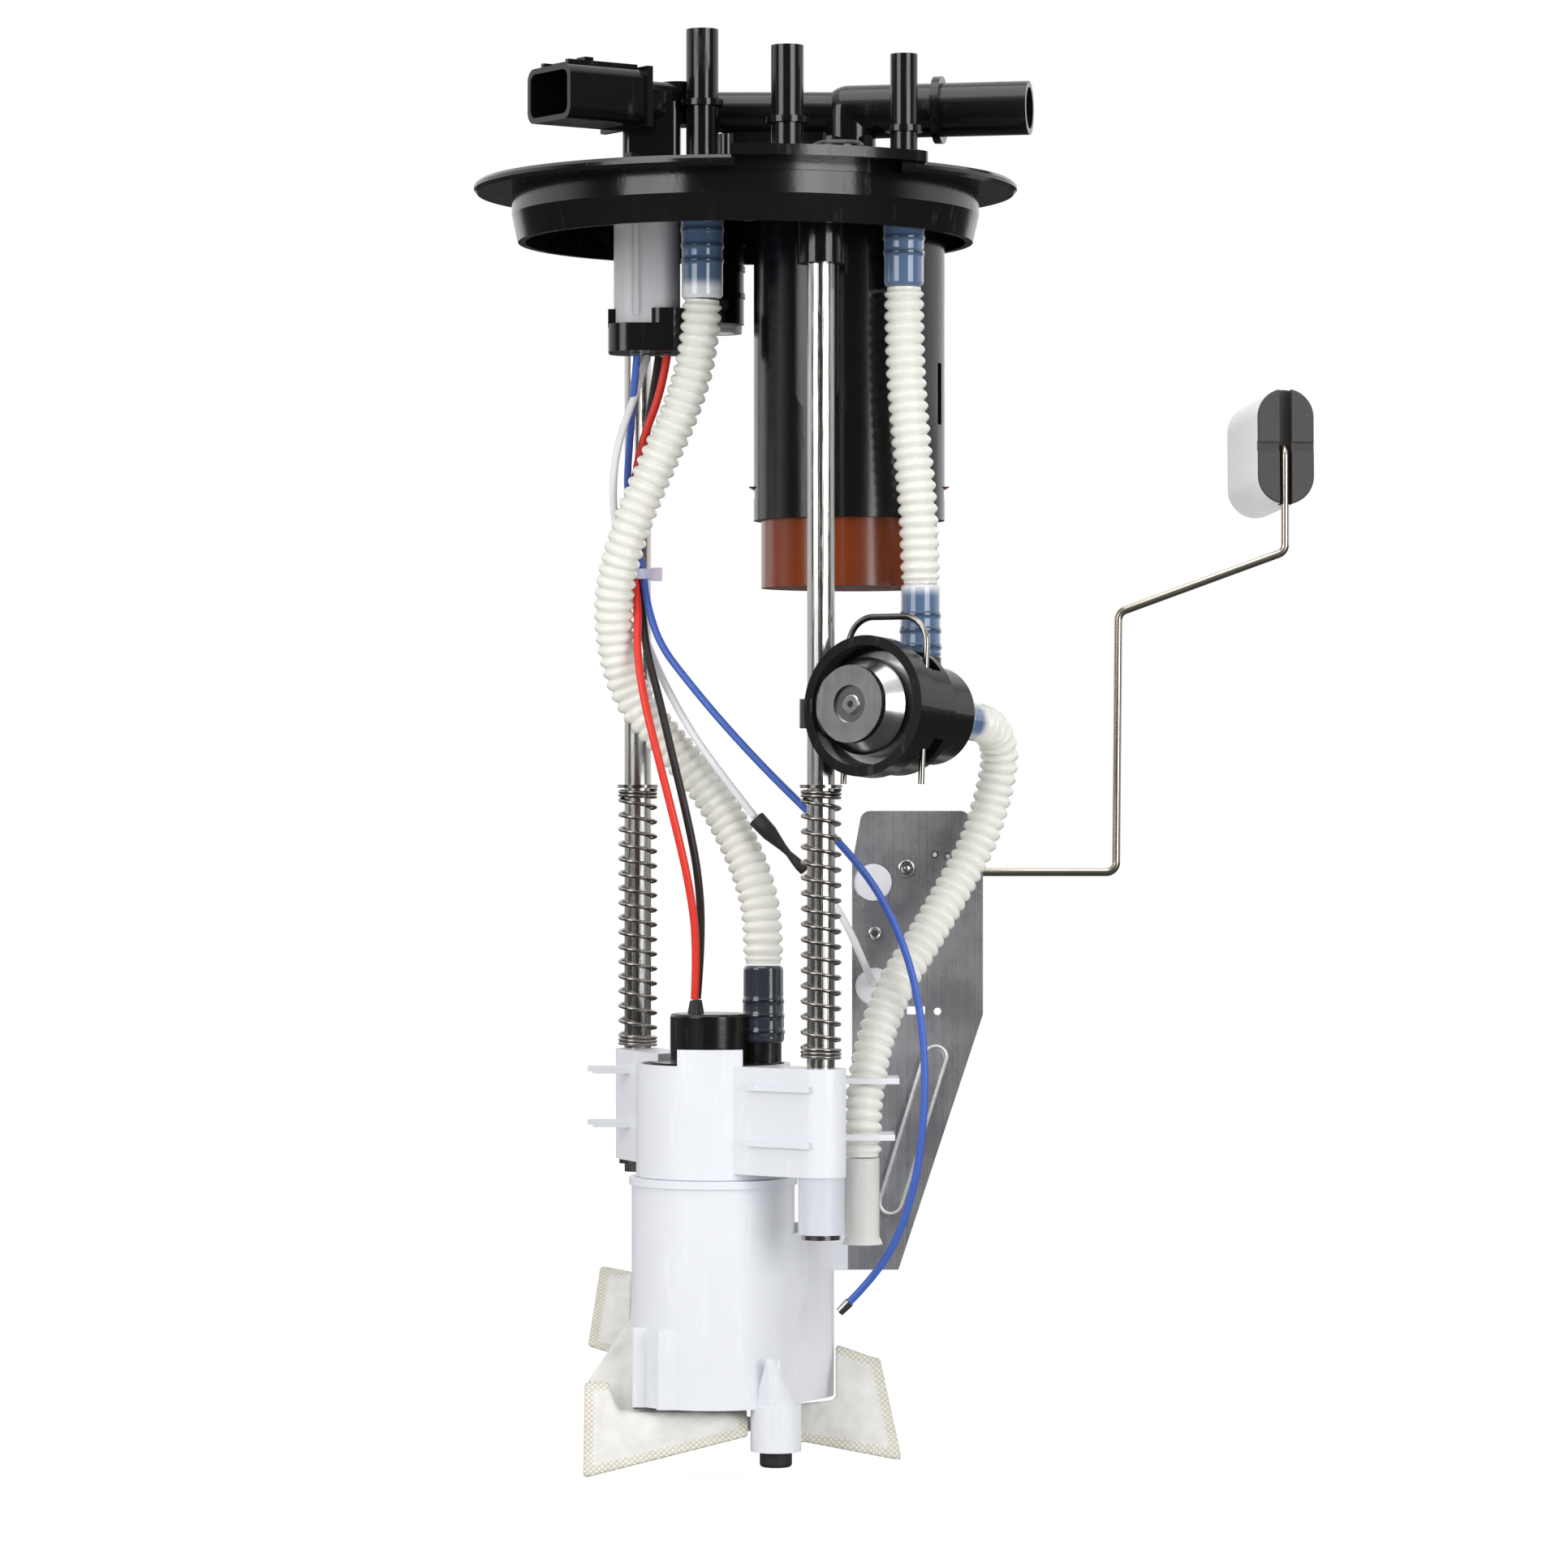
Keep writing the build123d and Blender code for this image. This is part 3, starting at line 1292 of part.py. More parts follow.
def level_float():
    """Z along the float towards its back, X down along its height."""
    start = Vector(float_at[0], arm_y(), float_at[1])
    frame = Plane(origin=start, x_dir=(0, 0, -1), z_dir=float_axis()).location
    width, height = float_size
    front = -arm_wire - seat_gap
    body = frame * Pos(0, 0, front) * extrude(SlotOverall(height, width), float_length)
    body = fillet(body.faces().sort_by(Axis.Y)[-1].edges(), 1.2)
    # Grooves on the front, and the hole for the wire
    half = float_groove / 2
    body -= block(-height, height, -half, half, front - 2, arm_wire + 1.2, frame)
    body -= block(-0.7, 0.7, -width, width, front - 2, front + 1.2, frame)
    body -= bar(arm_wire + press, front - 1, float_length * 0.7 + seat_gap, (0, 0), frame)
    # Room for the bend where the wire turns into the float
    return body - frame * Sphere(arm_bend + arm_wire)


def wire_tie():
    x = sum(r[5][0] for r in (red_route, black_route, blue_route, white_route)) / 4
    y = sum(r[5][1] for r in (red_route, black_route, blue_route, white_route)) / 4
    z = red_route[5][2]
    solid = pipe(tie_radius + tie_wall, tie_radius, z - tie_width / 2, z + tie_width / 2, (x, y))
    half = tie_width / 2
    solid += block(x + tie_radius + 0.2, x + tie_radius + 3.4, y - 2, y + 2, z - half - 0.4, z + half + 0.4)
    return solid


def between(start, end, low_radius, high_radius):
    """A cone frustum from start to end."""
    frame = Plane(origin=(start + end) / 2, z_dir=end - start)
    return frame * Cone(low_radius, high_radius, (end - start).length)


def splice_boot():
    start, end = Vector(*white_route[-1]), Vector(*white_tail_route[0])
    room = (end - start).normalized() * end_gap
    return between(start + room, end - room, *splice_radii)


def pump_wire_boots():
    solid = Part()
    for route in (red_route, black_route):
        x, y, z = route[-1]
        top = z - end_gap
        middle = Pos(x, y, (top + tower_cap_top) / 2)
        solid += middle * Cone(boot_radius, pump_wire_diameter / 2 + 0.2, top - tower_cap_top)
    return solid


def crimp_terminal():
    last, before = Vector(*blue_route[-1]), Vector(*blue_route[-2])
    along = (last - before).normalized()
    return between(last, last + along * crimp_length, crimp_radius, crimp_radius - 0.2)


def drain_spout():
    x, y, top = drain_route[-1]
    top -= seat_gap
    low = top - spout_length
    radius = drain_hose_diameter / 2 - 0.5
    solid = bar(radius, low, top, (x, y))
    solid += Pos(x, y, low + 1) * Cone(radius + 0.9, radius, 2)
    return solid - bar(radius - spout_wall, low - 1, top - 1.5, (x, y))


def pump_hose_end():
    top = supply_route[-1][2] - end_gap
    return hose_end(outlet_at, top, outlet_seat() + 0.1, supply_hose_diameter)


def hose_ends():
    """The smooth hose ends over the barbs of the flange and the regulator."""
    solid = hose_end(supply_at, hose_end_top, supply_route[0][2] + end_gap, supply_hose_diameter)
    solid += hose_end(return_at, hose_end_top, return_route[0][2] + end_gap, return_hose_diameter)
    solid += hose_end(
        regulator_at, return_route[-1][2] - end_gap, inlet_foot() + 0.1, return_hose_diameter
    )
    outlet = regulator_frame() * Rot(0, 180, 0)
    start = -drum_back + 0.1
    solid += hose_end((0, 0), start + outlet_length - end_gap, start, drain_hose_diameter, outlet)
    return solid


nodes["flange_cap"] = flange_cap()
nodes["connector_terminals"] = connector_terminals()
nodes["vapour_elbow"] = vapour_elbow()
nodes["rod_left"] = guide_rod(rod_left_at, rod_left_bottom)
nodes["rod_right"] = guide_rod(rod_right_at, rod_right_bottom)
nodes["spring_rings"] = spring_rings()
nodes["rod_clips"] = rod_clips()
nodes["spring_left"] = coil_spring(rod_left_at)
nodes["spring_right"] = coil_spring(rod_right_at)
nodes["harness_plug"] = harness_plug()
nodes["plug_retainer"] = plug_retainer()
nodes["rollover_valve"] = rollover_valve()
nodes["rollover_base"] = rollover_base()
nodes["valve_housing"] = valve_housing()
nodes["valve_cup"] = valve_cup()
nodes["valve_float"] = valve_float()
nodes["regulator_holder"] = regulator_holder()
nodes["pressure_regulator"] = pressure_regulator()
nodes["regulator_o_ring"] = regulator_o_ring()
nodes["regulator_clip"] = regulator_clip()
nodes["hose_ends"] = hose_ends()
nodes["pump_hose_end"] = pump_hose_end()
nodes["pump_case"] = pump_case()
nodes["pump_top_cap"] = pump_top_cap()
nodes["pump_inlet_body"] = pump_inlet_body()
nodes["pump_magnets"] = pump_magnets()
nodes["brush_holder"] = brush_holder()
nodes["pump_brushes"] = pump_brushes()
nodes["pump_armature"] = pump_armature()
nodes["pump_shaft"] = pump_shaft()
nodes["pump_impeller"] = pump_impeller()
nodes["pump_sleeve"] = pump_sleeve()
nodes["pump_holder"] = pump_holder()
nodes["lower_guide"] = lower_guide()
nodes["reservoir_canister"] = reservoir_canister()
nodes["foot_bumper"] = foot_bumper()
nodes["strainer_neck"] = strainer_neck()
nodes["strainer_bag"] = strainer_bag()
nodes["sender_plate"] = sender_plate()
nodes["sender_housing"] = sender_housing()
nodes["resistor_card"] = resistor_card()
nodes["sender_rivets"] = sender_rivets()
nodes["sender_terminal"] = sender_terminal()
nodes["arm_hub"] = arm_hub()
nodes["arm_wiper"] = arm_wiper()
nodes["float_arm"] = float_arm()
nodes["level_float"] = level_float()
nodes["wire_tie"] = wire_tie()
nodes["splice_boot"] = splice_boot()
nodes["pump_wire_boots"] = pump_wire_boots()
nodes["crimp_terminal"] = crimp_terminal()
nodes["drain_spout"] = drain_spout()
nodes["supply_hose"] = cord("supply_hose", supply_route, supply_hose_diameter)
nodes["return_hose"] = cord("return_hose", return_route, return_hose_diameter)
nodes["drain_hose"] = cord("drain_hose", drain_route, drain_hose_diameter)
nodes["red_wire"] = cord("red_wire", red_route, pump_wire_diameter)
nodes["black_wire"] = cord("black_wire", black_route, pump_wire_diameter)
nodes["blue_wire"] = cord("blue_wire", blue_route, thin_wire_diameter)
nodes["white_wire"] = cord("white_wire", white_route, thin_wire_diameter)
nodes["white_wire_tail"] = cord("white_wire_tail", white_tail_route, thin_wire_diameter)

for name, solid in nodes.items():
    export_step(solid, f"parts/{name}.step")
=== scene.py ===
import math

import bpy
import bmesh
from mathutils import Matrix, Vector, geometry, noise


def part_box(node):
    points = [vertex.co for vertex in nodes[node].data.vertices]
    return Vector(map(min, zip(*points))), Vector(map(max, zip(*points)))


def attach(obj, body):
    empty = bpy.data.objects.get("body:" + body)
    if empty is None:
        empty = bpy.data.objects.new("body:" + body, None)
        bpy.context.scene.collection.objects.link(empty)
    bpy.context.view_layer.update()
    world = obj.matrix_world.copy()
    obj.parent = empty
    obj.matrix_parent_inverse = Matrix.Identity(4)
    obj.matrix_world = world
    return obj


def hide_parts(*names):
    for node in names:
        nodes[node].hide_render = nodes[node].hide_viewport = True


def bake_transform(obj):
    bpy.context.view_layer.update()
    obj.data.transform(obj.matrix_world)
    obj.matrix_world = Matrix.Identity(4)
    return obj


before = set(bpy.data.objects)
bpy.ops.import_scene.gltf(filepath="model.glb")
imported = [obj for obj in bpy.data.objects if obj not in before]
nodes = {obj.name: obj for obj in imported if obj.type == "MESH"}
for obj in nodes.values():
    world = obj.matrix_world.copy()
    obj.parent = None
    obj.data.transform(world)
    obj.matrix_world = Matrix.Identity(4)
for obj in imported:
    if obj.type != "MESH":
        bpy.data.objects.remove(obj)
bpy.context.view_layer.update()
scene = bpy.context.scene
scene.view_settings.view_transform = "Standard"
print("frame loaded")


def addObject(label, data):
    made = bpy.data.objects.new(label, data)
    scene.collection.objects.link(made)
    return made


def meshObject(label, solid):
    # a finished bmesh as an object
    mesh = bpy.data.meshes.new(label)
    solid.to_mesh(mesh)
    solid.free()
    return addObject(label, mesh)


def finishedMesh(source):
    # an object's shape with its modifiers, as a plain mesh
    bpy.context.view_layer.update()
    graph = bpy.context.evaluated_depsgraph_get()
    return bpy.data.meshes.new_from_object(source.evaluated_get(graph), depsgraph=graph)


def curveObject(label, kind, points):
    data = bpy.data.curves.new(label, "CURVE")
    data.dimensions = "3D"
    spline = data.splines.new(kind)
    spline.points.add(len(points) - 1)
    for point, place in zip(spline.points, points):
        point.co = (*place, 1)
    return addObject(label, data), spline


def skinRings(solid, rings, smooth=False):
    # quads between rings of points, and a cap at both ends
    for low, high in zip(rings, rings[1:]):
        for side in range(len(low)):
            after = (side + 1) % len(low)
            solid.faces.new([low[side], low[after], high[after], high[side]]).smooth = smooth
    solid.faces.new(rings[0][::-1])
    solid.faces.new(rings[-1])


def socketId(tree, label):
    # modifiers want the identifier, not the name
    for item in tree.interface.items_tree:
        if item.item_type == "SOCKET" and item.in_out == "INPUT" and item.name == label:
            return item.identifier
    raise KeyError(label)


def addInput(tree, label, kind, value=None):
    made = tree.interface.new_socket(name=label, in_out="INPUT", socket_type="NodeSocket" + kind)
    if value is not None:
        made.default_value = value


def feed(tree, node, inputs):
    # links sockets and sets plain values
    for name, value in inputs.items():
        if isinstance(value, bpy.types.NodeSocket):
            tree.links.new(value, node.inputs[name])
        else:
            node.inputs[name].default_value = value


def addNode(tree, kind, inputs=None, **settings):
    node = tree.nodes.new(kind)
    for name, value in settings.items():
        setattr(node, name, value)
    feed(tree, node, inputs or {})
    return node


def mathNode(tree, operation, *values):
    return addNode(tree, "ShaderNodeMath", dict(enumerate(values)), operation=operation).outputs[0]


def times(tree, first, second):
    return mathNode(tree, "MULTIPLY", first, second)


def timesPlus(tree, first, second, third):
    return mathNode(tree, "MULTIPLY_ADD", first, second, third)


def minus(tree, first, second):
    return mathNode(tree, "SUBTRACT", first, second)


def clamped(tree, value):
    return mathNode(tree, "MINIMUM", mathNode(tree, "MAXIMUM", value, 0.0), 1.0)


def swing(tree, value, amount, base=0.0):
    # base plus the value's distance from one half times the amount
    return timesPlus(tree, minus(tree, value, 0.5), amount, base)


def noiseNode(tree, vector, scale, detail=3.0, roughness=0.5):
    inputs = {"Vector": vector, "Scale": scale, "Detail": detail, "Roughness": roughness}
    return addNode(tree, "ShaderNodeTexNoise", inputs).outputs[0]


def scaledVector(tree, vector, scale):
    return addNode(tree, "ShaderNodeVectorMath", {0: vector, 1: scale}, operation="MULTIPLY").outputs[0]


def tinted(tree, colour, factor):
    # colour times a grey factor
    return addNode(tree, "ShaderNodeVectorMath", {0: colour, "Scale": factor}, operation="SCALE").outputs[0]


def colourMix(tree, factor, first, second):
    inputs = {"Factor": factor, "A": first, "B": second}
    return addNode(tree, "ShaderNodeMix", inputs, data_type="RGBA").outputs["Result"]


def objectPlace(tree):
    return tree.nodes.new("ShaderNodeTexCoord").outputs["Object"]


def attribute(tree, label):
    return addNode(tree, "ShaderNodeAttribute", attribute_name=label).outputs["Fac"]


cameraSet = {
    "place": (0.01136, -1.621, -0.1736),
    "lens": 126.28,
    "sensor": 36.0,
}
cameraData = bpy.data.cameras.new("viewCamera")
cameraData.lens = cameraSet["lens"]
cameraData.sensor_width = cameraSet["sensor"]
cameraData.clip_end = 50
camera = addObject("viewCamera", cameraData)
camera.location = cameraSet["place"]
camera.rotation_euler = (math.radians(90), 0, 0)
scene.camera = camera

lampSet = {
    "top": {"place": (-0.1, -0.35, 1.35), "aim": (0, 0, -0.15), "size": 1.5, "power": 11},
    "keyLeft": {"place": (-1.5, -1.5, 0.5), "aim": (0, 0, -0.18), "size": 1.2, "power": 17},
    "fillRight": {"place": (1.3, -1.6, 0.2), "aim": (0, 0, -0.2), "size": 1.1, "power": 17},
    "back": {"place": (0.2, 1.6, 0.3), "aim": (0, 0, -0.2), "size": 1.6, "power": 12},
}
for lampName, values in lampSet.items():
    lampData = bpy.data.lights.new(lampName, "AREA")
    lampData.size = values["size"]
    lampData.energy = values["power"]
    lamp = addObject(lampName, lampData)
    lamp.location = values["place"]
    aim = Vector(values["aim"]) - Vector(values["place"])
    lamp.rotation_euler = aim.to_track_quat("-Z", "Y").to_euler()
    lamp.visible_glossy = lampName != "back"  # its mirror image would whiten the disc's underside

worldSet = {
    "light": 0.5, "front": 0.06, "shine": 1.0,
    "rightPanel": (0.4, 0.45, 0.64, 0.58), "leftPanel": (-0.5, -0.55, -0.72, -0.66), "leftShine": 0.6,
    "behind": (-0.28, 0.2), "above": (0.35, 0.8),
}


def makeWorld():
    # what shines sees a dark front with two tall panels, and a bright back and ceiling
    world = bpy.data.worlds.new("studio")
    world.use_nodes = True
    tree = world.node_tree
    path = tree.nodes.new("ShaderNodeLightPath").outputs
    direction = tree.nodes.new("ShaderNodeTexCoord").outputs["Generated"]
    parts = addNode(tree, "ShaderNodeSeparateXYZ", {0: direction}).outputs

    def step(axis, low, high):
        inputs = {"Value": parts[axis], "From Min": low, "From Max": high}
        return addNode(tree, "ShaderNodeMapRange", inputs, interpolation_type="SMOOTHSTEP").outputs["Result"]

    def panel(low, lowFull, high, highFull):
        return times(tree, step("X", low, lowFull), step("X", high, highFull))

    bright = times(tree, panel(*worldSet["leftPanel"]), worldSet["leftShine"])
    bright = mathNode(tree, "MAXIMUM", bright, panel(*worldSet["rightPanel"]))
    bright = mathNode(tree, "MAXIMUM", bright, step("Y", *worldSet["behind"]))
    bright = mathNode(tree, "MAXIMUM", bright, step("Z", *worldSet["above"]))
    glossy = path["Is Glossy Ray"]
    seen = mathNode(tree, "MAXIMUM", path["Is Camera Ray"], path["Is Transmission Ray"])
    shine = timesPlus(tree, bright, worldSet["shine"] - worldSet["front"], worldSet["front"])
    diffuse = times(tree, minus(tree, 1.0, glossy), worldSet["light"])
    strength = mathNode(tree, "MAXIMUM", seen, timesPlus(tree, glossy, shine, diffuse))
    feed(tree, tree.nodes["Background"], {"Color": (1, 1, 1, 1), "Strength": strength})
    return world


scene.world = makeWorld()

floorSet = {
    "height": -0.3768, "size": 30.0, "glow": 0.9, "shadeColour": 0.22, "bounceColour": 0.7, "mirror": 0.1,
}


def makeFloorMaterial():
    made = bpy.data.materials.new("paleFloor")
    made.use_nodes = True
    tree = made.node_tree
    tree.nodes.clear()
    path = tree.nodes.new("ShaderNodeLightPath").outputs
    seen = path["Is Camera Ray"]
    greys = [(floorSet[name],) * 3 + (1,) for name in ("bounceColour", "shadeColour")]
    sheen = timesPlus(tree, path["Is Glossy Ray"], floorSet["mirror"] - 1, 1.0)
    colour = tinted(tree, colourMix(tree, seen, *greys), sheen)
    diffuse = addNode(tree, "ShaderNodeBsdfDiffuse", {"Color": colour})
    glow = addNode(tree, "ShaderNodeEmission", {"Strength": times(tree, seen, floorSet["glow"])})
    both = addNode(tree, "ShaderNodeAddShader", {0: diffuse.outputs[0], 1: glow.outputs[0]})
    addNode(tree, "ShaderNodeOutputMaterial", {"Surface": both.outputs[0]})
    return made


floorMesh = bpy.data.meshes.new("floor")
half = floorSet["size"] / 2
floorMesh.from_pydata(
    [(-half, -half, 0), (half, -half, 0), (half, half, 0), (-half, half, 0)], [], [(0, 1, 2, 3)]
)
floor = addObject("floor", floorMesh)
floor.location = (0, 0, floorSet["height"])
floorMesh.materials.append(makeFloorMaterial())
print("camera, lamps and floor ready")


def shaderGroup(label, inputs):
    # a group that turns a vector, a colour and these inputs into colour, roughness and height
    tree = bpy.data.node_groups.new(label, "ShaderNodeTree")
    for name, kind, value in [("Vector", "Vector", None), ("Colour", "Color", (0.5, 0.5, 0.5, 1)), *inputs]:
        addInput(tree, name, kind, value)
    for name, kind in (("Colour", "Color"), ("Roughness", "Float"), ("Height", "Float")):
        tree.interface.new_socket(name=name, in_out="OUTPUT", socket_type="NodeSocket" + kind)
    return tree, tree.nodes.new("NodeGroupInput").outputs, tree.nodes.new("NodeGroupOutput")


def makeMouldedGroup():
    # moulded plastic: soft mottling, a fine grain and a few rubbed marks
    tree, given, end = shaderGroup("mouldedSkin", [
        ("Mottle", "Float", 0.08), ("Grain Scale", "Float", 900.0), ("Grain", "Float", 0.3),
        ("Roughness", "Float", 0.4), ("Rub", "Float", 0.1),
    ])
    vector = given["Vector"]
    broad = noiseNode(tree, vector, 28.0, 4.0, 0.6)
    fine = noiseNode(tree, vector, given["Grain Scale"], 2.0)
    streaks = noiseNode(tree, scaledVector(tree, vector, (260, 260, 36)), 1.0, 5.0, 0.62)
    rubbed = mathNode(tree, "SMOOTH_MAX", timesPlus(tree, streaks, 5.0, -2.9), 0.0, 0.1)
    rub = times(tree, mathNode(tree, "MINIMUM", rubbed, 1.0), given["Rub"])
    shift = swing(tree, broad, given["Mottle"])
    factor = mathNode(tree, "ADD", timesPlus(tree, shift, 2.0, 1.0), rub)
    rough = timesPlus(tree, rub, 0.6, given["Roughness"])
    feed(tree, end, {
        "Colour": tinted(tree, given["Colour"], factor),
        "Roughness": mathNode(tree, "ADD", rough, swing(tree, broad, 0.12)),
        "Height": times(tree, fine, given["Grain"]),
    })
    return tree


def makeMetalGroup():
    # drawn or ground metal: streaks along one direction, stains and small dents
    tree, given, end = shaderGroup("workedMetal", [
        ("Streak Scale", "Vector", (900, 900, 30)), ("Streak", "Float", 0.3), ("Stain", "Float", 0.1),
        ("Roughness", "Float", 0.3),
    ])
    streaks = noiseNode(tree, scaledVector(tree, given["Vector"], given["Streak Scale"]), 1.0, 4.0, 0.6)
    shift = swing(tree, noiseNode(tree, given["Vector"], 55.0, 5.0, 0.6), given["Stain"])
    lines = swing(tree, streaks, given["Streak"])
    factor = mathNode(tree, "ADD", timesPlus(tree, shift, 2.0, 1.0), lines)
    rough = timesPlus(tree, lines, 0.6, given["Roughness"])
    feed(tree, end, {
        "Colour": tinted(tree, given["Colour"], factor), "Roughness": mathNode(tree, "ADD", rough, shift),
        "Height": times(tree, streaks, given["Streak"]),
    })
    return tree


mouldedGroup = makeMouldedGroup()
metalGroup = makeMetalGroup()


def newMaterial(label, group, settings, shader, bump):
    made = bpy.data.materials.new(label)
    made.use_nodes = True
    tree = made.node_tree
    place = objectPlace(tree)
    skin = addNode(tree, "ShaderNodeGroup", {"Vector": place, **settings}, node_tree=group).outputs
    ridge = addNode(tree, "ShaderNodeBump", {"Strength": bump, "Distance": 0.0004, "Height": skin["Height"]})
    feed(tree, tree.nodes["Principled BSDF"], {
        "Base Color": skin["Colour"], "Roughness": skin["Roughness"], "Normal": ridge.outputs["Normal"],
        **{name.replace("_", " "): value for name, value in shader.items()},
    })
    return made


def plastic(label, colour, roughness, mottle=0.08, grain=0.3, rub=0.1, grainScale=900.0, bump=0.2, **shader):
    settings = {
        "Colour": (*colour, 1), "Roughness": roughness, "Mottle": mottle, "Grain": grain, "Rub": rub,
        "Grain Scale": grainScale,
    }
    return newMaterial(label, mouldedGroup, settings, shader, bump)


def metal(label, colour, roughness, streak=0.3, stain=0.1, direction=(900, 900, 30), bump=0.15, **shader):
    settings = {
        "Colour": (*colour, 1), "Roughness": roughness, "Streak": streak, "Stain": stain,
        "Streak Scale": direction,
    }
    return newMaterial(label, metalGroup, settings, {"Metallic": 1.0, **shader}, bump)


blackFlange = plastic(
    "blackFlange", (0.006, 0.006, 0.0068), 0.15, rub=0.6, bump=0.12, Specular_IOR_Level=0.55
)
blackValve = plastic("blackValve", (0.0055, 0.0055, 0.006), 0.18, rub=0.4, bump=0.15, Specular_IOR_Level=0.5)
blackHolder = plastic("blackHolder", (0.0075, 0.0072, 0.0068), 0.2, rub=0.5, Specular_IOR_Level=0.5)
lightGreyPlug = plastic("lightGreyPlug", (0.56, 0.565, 0.585), 0.4, mottle=0.05)
brownCup = plastic(
    "brownCup", (0.2, 0.033, 0.004), 0.24, mottle=0.35, rub=0.2, Subsurface_Weight=0.1,
    Subsurface_Radius=(0.003, 0.0008, 0.0002), Coat_Weight=0.25, Coat_Roughness=0.12,
)
whiteAcetal = plastic(
    "whiteAcetal", (0.79, 0.805, 0.845), 0.36, mottle=0.05, Subsurface_Weight=0.2,
    Subsurface_Radius=(0.003, 0.003, 0.0035),
)
lilacGuide = plastic(
    "lilacGuide", (0.66, 0.67, 0.73), 0.3, mottle=0.08, Subsurface_Weight=0.3,
    Subsurface_Radius=(0.004, 0.004, 0.005), Coat_Weight=0.3, Coat_Roughness=0.15,
)
clearNatural = plastic(
    "clearNatural", (0.6, 0.6, 0.6), 0.26, mottle=0.1, Transmission_Weight=0.45, IOR=1.3
)
hoseNylon = plastic(
    "hoseNylon", (0.98, 0.975, 0.88), 0.2, mottle=0.08, grain=0.15, Subsurface_Weight=0.4,
    Subsurface_Radius=(0.005, 0.0048, 0.0042), Transmission_Weight=0.12, IOR=1.4, Coat_Weight=0.5,
    Coat_Roughness=0.12,
)
spoutNylon = plastic(
    "spoutNylon", (0.93, 0.94, 0.9), 0.16, mottle=0.1, grain=0.1, Transmission_Weight=0.35, IOR=1.25,
    Coat_Weight=0.6, Coat_Roughness=0.08,
)
rubberBlack = plastic("rubberBlack", (0.02, 0.019, 0.018), 0.55, grain=0.6, mottle=0.2)
tealRubber = plastic("tealRubber", (0.01, 0.17, 0.18), 0.45, grain=0.5, mottle=0.15)
ceramicCard = plastic("ceramicCard", (0.6, 0.58, 0.5), 0.5)
carbonBlock = plastic("carbonBlock", (0.02, 0.02, 0.02), 0.7, grain=0.8)
ferriteBlock = plastic("ferriteBlock", (0.03, 0.03, 0.033), 0.6, grain=0.7)
tieNylon = plastic("tieNylon", (0.7, 0.64, 0.82), 0.35, Subsurface_Weight=0.3)
redInsulation = plastic("redInsulation", (0.8, 0.035, 0.018), 0.36, mottle=0.1, rub=0.15)
blackInsulation = plastic("blackInsulation", (0.03, 0.024, 0.022), 0.36, mottle=0.2, rub=0.4)
blueInsulation = plastic("blueInsulation", (0.05, 0.125, 0.5), 0.34, mottle=0.1, rub=0.15)
whiteInsulation = plastic("whiteInsulation", (0.84, 0.85, 0.86), 0.36, mottle=0.05)
copperWinding = metal("copperWinding", (0.5, 0.2, 0.09), 0.35, direction=(60, 60, 900))
rodSteel = metal("rodSteel", (0.56, 0.55, 0.53), 0.16, direction=(2400, 2400, 14), streak=0.7, bump=0.3)
springSteel = metal("springSteel", (0.36, 0.335, 0.31), 0.2, streak=0.3, stain=0.2)
# bright steel that paints the highlight along the plate bead's edge
beadHighlightSteel = metal("beadHighlightSteel", (0.9, 0.89, 0.87), 0.5, streak=0.3, stain=0.15, direction=(700, 700, 700))
platedSteel = metal("platedSteel", (0.6, 0.6, 0.6), 0.22, stain=0.12, streak=0.12, direction=(500, 500, 60))
plateSteel = metal(
    "plateSteel", (0.4, 0.4, 0.415), 0.28, stain=0.42, direction=(1900, 60, 9), streak=0.4, bump=0.2,
    Metallic=0.6,
)
brightRivet = metal(
    "brightRivet", (0.85, 0.84, 0.82), 0.2, streak=0.5, stain=0.3, direction=(700, 700, 700)
)
# dark steel that paints the shade in the regulator can's recess
recessShadeSteel = metal("recessShadeSteel", (0.16, 0.16, 0.165), 0.35, direction=(700, 700, 700))
armSteel = metal("armSteel", (0.56, 0.5, 0.43), 0.26, streak=0.1, stain=0.1, direction=(900, 900, 900))
brassBlade = metal("brassBlade", (0.66, 0.46, 0.2), 0.3)


def makeFeltMaterial():
    # felt under a fine open mesh; the sealed border is yellowed and pressed in squares
    made = bpy.data.materials.new("strainerFelt")
    made.use_nodes = True
    tree = made.node_tree
    border = attribute(tree, "border")
    place = objectPlace(tree)
    weave = addNode(tree, "ShaderNodeUVMap", uv_map="weave").outputs[0]
    inputs = {"Vector": weave, "Angle": math.radians(45)}
    turned = addNode(tree, "ShaderNodeVectorRotate", inputs, rotation_type="Z_AXIS").outputs[0]
    parts = addNode(tree, "ShaderNodeSeparateXYZ", {0: turned}).outputs
    meshPitch = 0.12
    threads = []
    for axis in ("X", "Y"):
        wave = mathNode(tree, "SINE", times(tree, parts[axis], math.pi / meshPitch))
        threads.append(mathNode(tree, "ABSOLUTE", wave))
    pressed = times(tree, mathNode(tree, "MINIMUM", *threads), border)
    fuzz = noiseNode(tree, place, 2600.0, 3.0, 0.7)
    tone = swing(tree, noiseNode(tree, place, 130.0, 4.0, 0.6), 0.35, 1.0)
    tone = timesPlus(tree, pressed, 0.6, swing(tree, fuzz, 0.25, tone))
    felt = colourMix(tree, border, (0.76, 0.75, 0.72, 1), (0.56, 0.54, 0.47, 1))
    height = timesPlus(tree, fuzz, 0.5, times(tree, pressed, 0.8))
    ridge = addNode(tree, "ShaderNodeBump", {"Strength": 0.6, "Distance": 0.0004, "Height": height})
    feed(tree, tree.nodes["Principled BSDF"], {
        "Base Color": tinted(tree, felt, tone), "Roughness": 0.82, "Sheen Weight": 0.1,
        "Normal": ridge.outputs["Normal"],
    })
    return made


strainerFelt = makeFeltMaterial()


